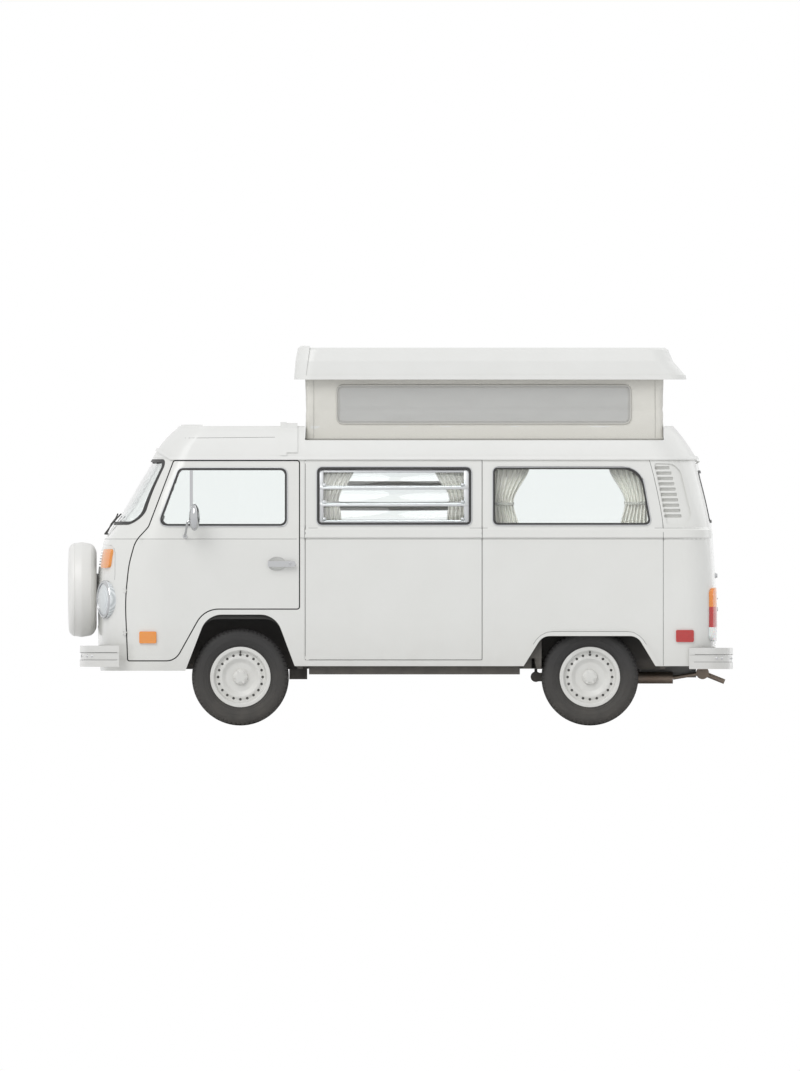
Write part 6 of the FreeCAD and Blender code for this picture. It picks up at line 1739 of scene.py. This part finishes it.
# %% Pedals
pedal_tilt = Matrix.Rotation(math.radians(-38), 3, "Y")
pedals = bmesh.new()
for y, wide, top in ((-0.50, 0.062, 0.655), (-0.30, 0.062, 0.655), (-0.225, 0.050, 0.640)):
    pad = block((-0.008, y - wide / 2, -0.036), (0.008, y + wide / 2, 0.036), 0.004)
    bmesh.ops.rotate(pad, cent=(0, y, 0), matrix=pedal_tilt, verts=pad.verts)
    bmesh.ops.translate(pad, vec=(-1.760, 0, top), verts=pad.verts)
    arm = [(-1.766, y, top - 0.006), (-1.80, y, top - 0.045), (-1.815, y, cab_floor_top)]
    poured(pedals, pad, tube(arm, 0.006))
finished("pedals", pedals, "body", "black_plastic")
print("Cab controls placed")

# %% Outline of a door card
card_low, card_high = (-1.600, 0.850), (-0.765, 1.335)
card_sink, card_thickness = 0.0490, 0.004
flutes_top_z = 1.20
handle_cut = (-0.93, -0.70)


def card_point(x, z, side):
    """A card's place inside the door, fluted low down and clear of the handle."""
    flute = 0.0018 * abs(math.sin(26.0 * x)) if z < flutes_top_z else 0.0
    highest = 1.04 if handle_cut[0] < x < handle_cut[1] else z
    skin_y = side_y(shell_tree, x, min(max(z, 0.87), highest), side)
    return (x, skin_y - side * (card_sink + flute), z)


# %% Door cards, each with its winder and pull
winder_x, winder_z = -1.32, 1.02
winder_end_x, winder_end_z = -1.235, 0.962
boss_profile = [(0, 0.018), (0.020, 0.016), (0.024, 0.0), (0, 0)]
winder_knob = [(0, 0.034), (0.011, 0.032), (0.013, 0.010), (0.008, 0.0), (0, 0)]
winder_arm = [
    (winder_x, 0.014, winder_z), (-1.27, 0.020, 0.985), (winder_end_x, 0.024, winder_end_z),
]
pull_line = [(-1.10, 0.0, 1.17), (-1.08, 0.034, 1.172), (-0.94, 0.036, 1.172), (-0.92, 0.0, 1.17)]
for side, hand in both_sides:
    card = grid_between(26, 16, card_low, card_high, lambda x, z: card_point(x, z, side))
    card_piece = finished(f"door_card_{hand}", card, f"cab_door_{hand}", "seat_vinyl", sharp=60)
    thickened(card_piece, card_thickness)
    inner_y = side_y(shell_tree, -1.20, 1.10, side) - side * (card_sink + card_thickness)
    inwards = (0, -side, 0)
    arm, pull = (
        [(x, inner_y - side * rise, z) for x, rise, z in line] for line in (winder_arm, pull_line)
    )
    knob_foot = (winder_end_x, inner_y - side * 0.018, winder_end_z)
    winder = joined(
        turned(boss_profile, (winder_x, inner_y, winder_z), inwards, 28),
        tube(arm, 0.006),
        turned(winder_knob, knob_foot, inwards, 24),
    )
    finished(f"window_winder_{hand}", winder, f"cab_door_{hand}", "chrome")
    finished(
        f"door_pull_{hand}", tube(pull, 0.0085, sides=5), f"cab_door_{hand}", "black_plastic"
    )
print("Door cards: 2")

# %% [markdown]
# ## The kitchen
# The cupboard under the louvred window has three doors with round knobs, a
# steel sink and a two-ring hob let into the worktop, and a low folding tap.

# %% Kitchen fronts
kitchen_low, kitchen_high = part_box("kitchen_unit")
front_y = kitchen_high.y - 0.014
leaf_face_y = front_y + 0.0125
kitchen_start, kitchen_end = kitchen_low.x + 0.012, kitchen_high.x - 0.012
leaf = (kitchen_end - kitchen_start) / 3
leaves, knobs = bmesh.new(), bmesh.new()
for number in range(3):
    left = kitchen_start + leaf * number + 0.006
    right = left + leaf - 0.012
    low = (left, front_y - 0.004, kitchen_low.z + 0.07)
    poured(leaves, block(low, (right, leaf_face_y, kitchen_high.z - 0.055), 0.0025, 2))
    knob_x = left + 0.035 if number == 1 else right - 0.035
    poured(knobs, button((knob_x, leaf_face_y, kitchen_high.z - 0.12), (0, 1, 0), 0.011, 0.016))
finished("kitchen_doors", leaves, "body", "wood_laminate")
finished("kitchen_knobs", knobs, "body", "chrome")

# %% Sink
top_z = kitchen_high.z
sink_rim = 0.022
sink = block((0.12, -0.70, top_z - 0.004), (0.44, -0.44, top_z + 0.006), 0.003)
basin = max((face for face in sink.faces if face.normal.z > 0.99), key=lambda f: f.calc_area())
bmesh.ops.inset_individual(sink, faces=[basin], thickness=sink_rim)
bmesh.ops.translate(sink, vec=(0, 0, -0.0075), verts=basin.verts)
steel = joined(sink, block((-0.46, -0.70, top_z - 0.004), (-0.02, -0.44, top_z + 0.005), 0.003))

# %% Hob rings with their pan rests, and the tap
hob_y = -0.57
ring_profile = [(0.030, 0.0), (0.030, 0.010), (0.052, 0.010), (0.052, 0.0)]
for x in (-0.35, -0.13):
    poured(steel, turned(ring_profile, (x, hob_y, top_z + 0.004), (0, 0, 1), 32, closed=True))
    middle = Vector((x, hob_y, top_z + 0.019))
    for number in range(4):
        angle = math.pi / 4 + math.pi / 2 * number
        way = Vector((math.cos(angle), math.sin(angle), 0))
        rest = [middle + way * 0.018, middle + way * 0.082]
        rest.append(middle + way * 0.086 - Vector((0, 0, 0.014)))
        poured(steel, tube(rest, 0.003))
tap_x, tap_y = 0.28, -0.715
tap_line = [(tap_y, 0.0), (tap_y, 0.052), (-0.69, 0.066), (-0.61, 0.060), (-0.60, 0.046)]
tap_foot = [(0, 0.012), (0.014, 0.010), (0.016, 0.0), (0, 0)]
poured(steel, tube([(tap_x, y, top_z + up) for y, up in tap_line], 0.0065, sides=5))
poured(steel, turned(tap_foot, (tap_x, tap_y, top_z), (0, 0, 1), 24))
finished("sink_hob_and_tap", steel, "body", "bright_rod", sharp=40)
print("Kitchen fitted")

# %% [markdown]
# ## Light, floor and camera
# The van stands on a plain pale floor in an even white room. The room's own
# light is strength 1 only for what the camera and reflections see; the soft
# light on the van is lower and is topped up by two wide suns, so that pale
# paint keeps its tone and the floor keeps the shadow.

# %% Room light
world = bpy.data.worlds.new("studio")
bpy.context.scene.world = world
world.use_nodes = True
room = world.node_tree
room_out = room.nodes["World Output"]
room_fill = room.nodes["Background"]
room_fill.inputs["Color"].default_value = (0.97, 0.98, 1.0, 1.0)
room_fill.inputs["Strength"].default_value = 0.62
room_seen = add_node(room, "ShaderNodeBackground", Color=(1.0, 1.0, 1.0, 1.0), Strength=1.0)
room_path = room.nodes.new("ShaderNodeLightPath")
room_choice = room.nodes.new("ShaderNodeMixShader")
room_seen_through = add_node(room, "ShaderNodeMath", operation="MAXIMUM")
room_direct = add_node(room, "ShaderNodeMath", operation="MAXIMUM")
wires(
    room,
    (room_path, "Is Camera Ray", room_seen_through, 0),
    (room_path, "Is Transmission Ray", room_seen_through, 1),
    (room_seen_through, "Value", room_direct, 0),
    (room_path, "Is Glossy Ray", room_direct, 1),
    (room_direct, "Value", room_choice, "Fac"),
    (room_fill, "Background", room_choice, 1),
    (room_seen, "Background", room_choice, 2),
    (room_choice, "Shader", room_out, "Surface"),
)


def add_sun(name, strength, spread, aim):
    """A wide sun that shines along a direction."""
    light = bpy.data.lights.new(name, "SUN")
    light.energy = strength
    light.angle = math.radians(spread)
    lamp_object = bpy.data.objects.new(name, light)
    lamp_object.rotation_euler = Vector(aim).to_track_quat("-Z", "Y").to_euler()
    bpy.context.scene.collection.objects.link(lamp_object)
    return lamp_object


key_sun = add_sun("key_sun", strength=1.35, spread=40, aim=(0.45, 0.75, -0.85))
rim_sun = add_sun("rim_sun", strength=0.6, spread=60, aim=(-0.7, -0.5, -0.6))
print("Suns:", key_sun.data.energy, rim_sun.data.energy)

# %% [markdown]
# The floor is one large pale sheet just under the tyres. Its noise is so faint
# that it only keeps the floor from looking like paper.

# %% Floor
floor_half_width = 40.0
floor_below_tyres = 0.001
floor_shape = bmesh.new()
bmesh.ops.create_grid(floor_shape, x_segments=4, y_segments=4, size=floor_half_width)
floor_mesh = bpy.data.meshes.new("studio_floor")
floor_shape.to_mesh(floor_mesh)
floor_shape.free()
floor_sheet = bpy.data.objects.new("studio_floor", floor_mesh)
bpy.context.scene.collection.objects.link(floor_sheet)
floor_sheet.location.z = -floor_below_tyres
floor_finish = coated(
    "studio floor", (0.90, 0.90, 0.90), (0.88, 0.88, 0.88), (0.7, 0.85), 40, 0.0002
)
floor_mesh.materials.append(floor_finish)

# %% [markdown]
# The picture is a side elevation, so the camera is orthographic and looks
# squarely at the left side. Its height and scale put the van in the frame as
# the 800 by 1071 picture has it: one of its pixels is 6.867 mm.

# %% Camera
picture_width, picture_height = 800, 1071
pixel = 0.006867
camera_distance = 12.0
view_middle_x, view_middle_z = -0.003, 1.305
camera_data = bpy.data.cameras.new("side_elevation")
camera_data.type = "ORTHO"
camera_data.sensor_fit = "VERTICAL"
camera_data.ortho_scale = picture_height * pixel
camera_data.clip_end = 100.0
camera = bpy.data.objects.new("side_elevation", camera_data)
camera.location = (view_middle_x, -camera_distance, view_middle_z)
camera.rotation_euler = (math.radians(90), 0.0, 0.0)
bpy.context.scene.collection.objects.link(camera)
bpy.context.scene.camera = camera
bpy.context.scene.view_settings.view_transform = "Standard"
print("Frame:", round(picture_width * pixel, 3), "by", round(picture_height * pixel, 3), "m")
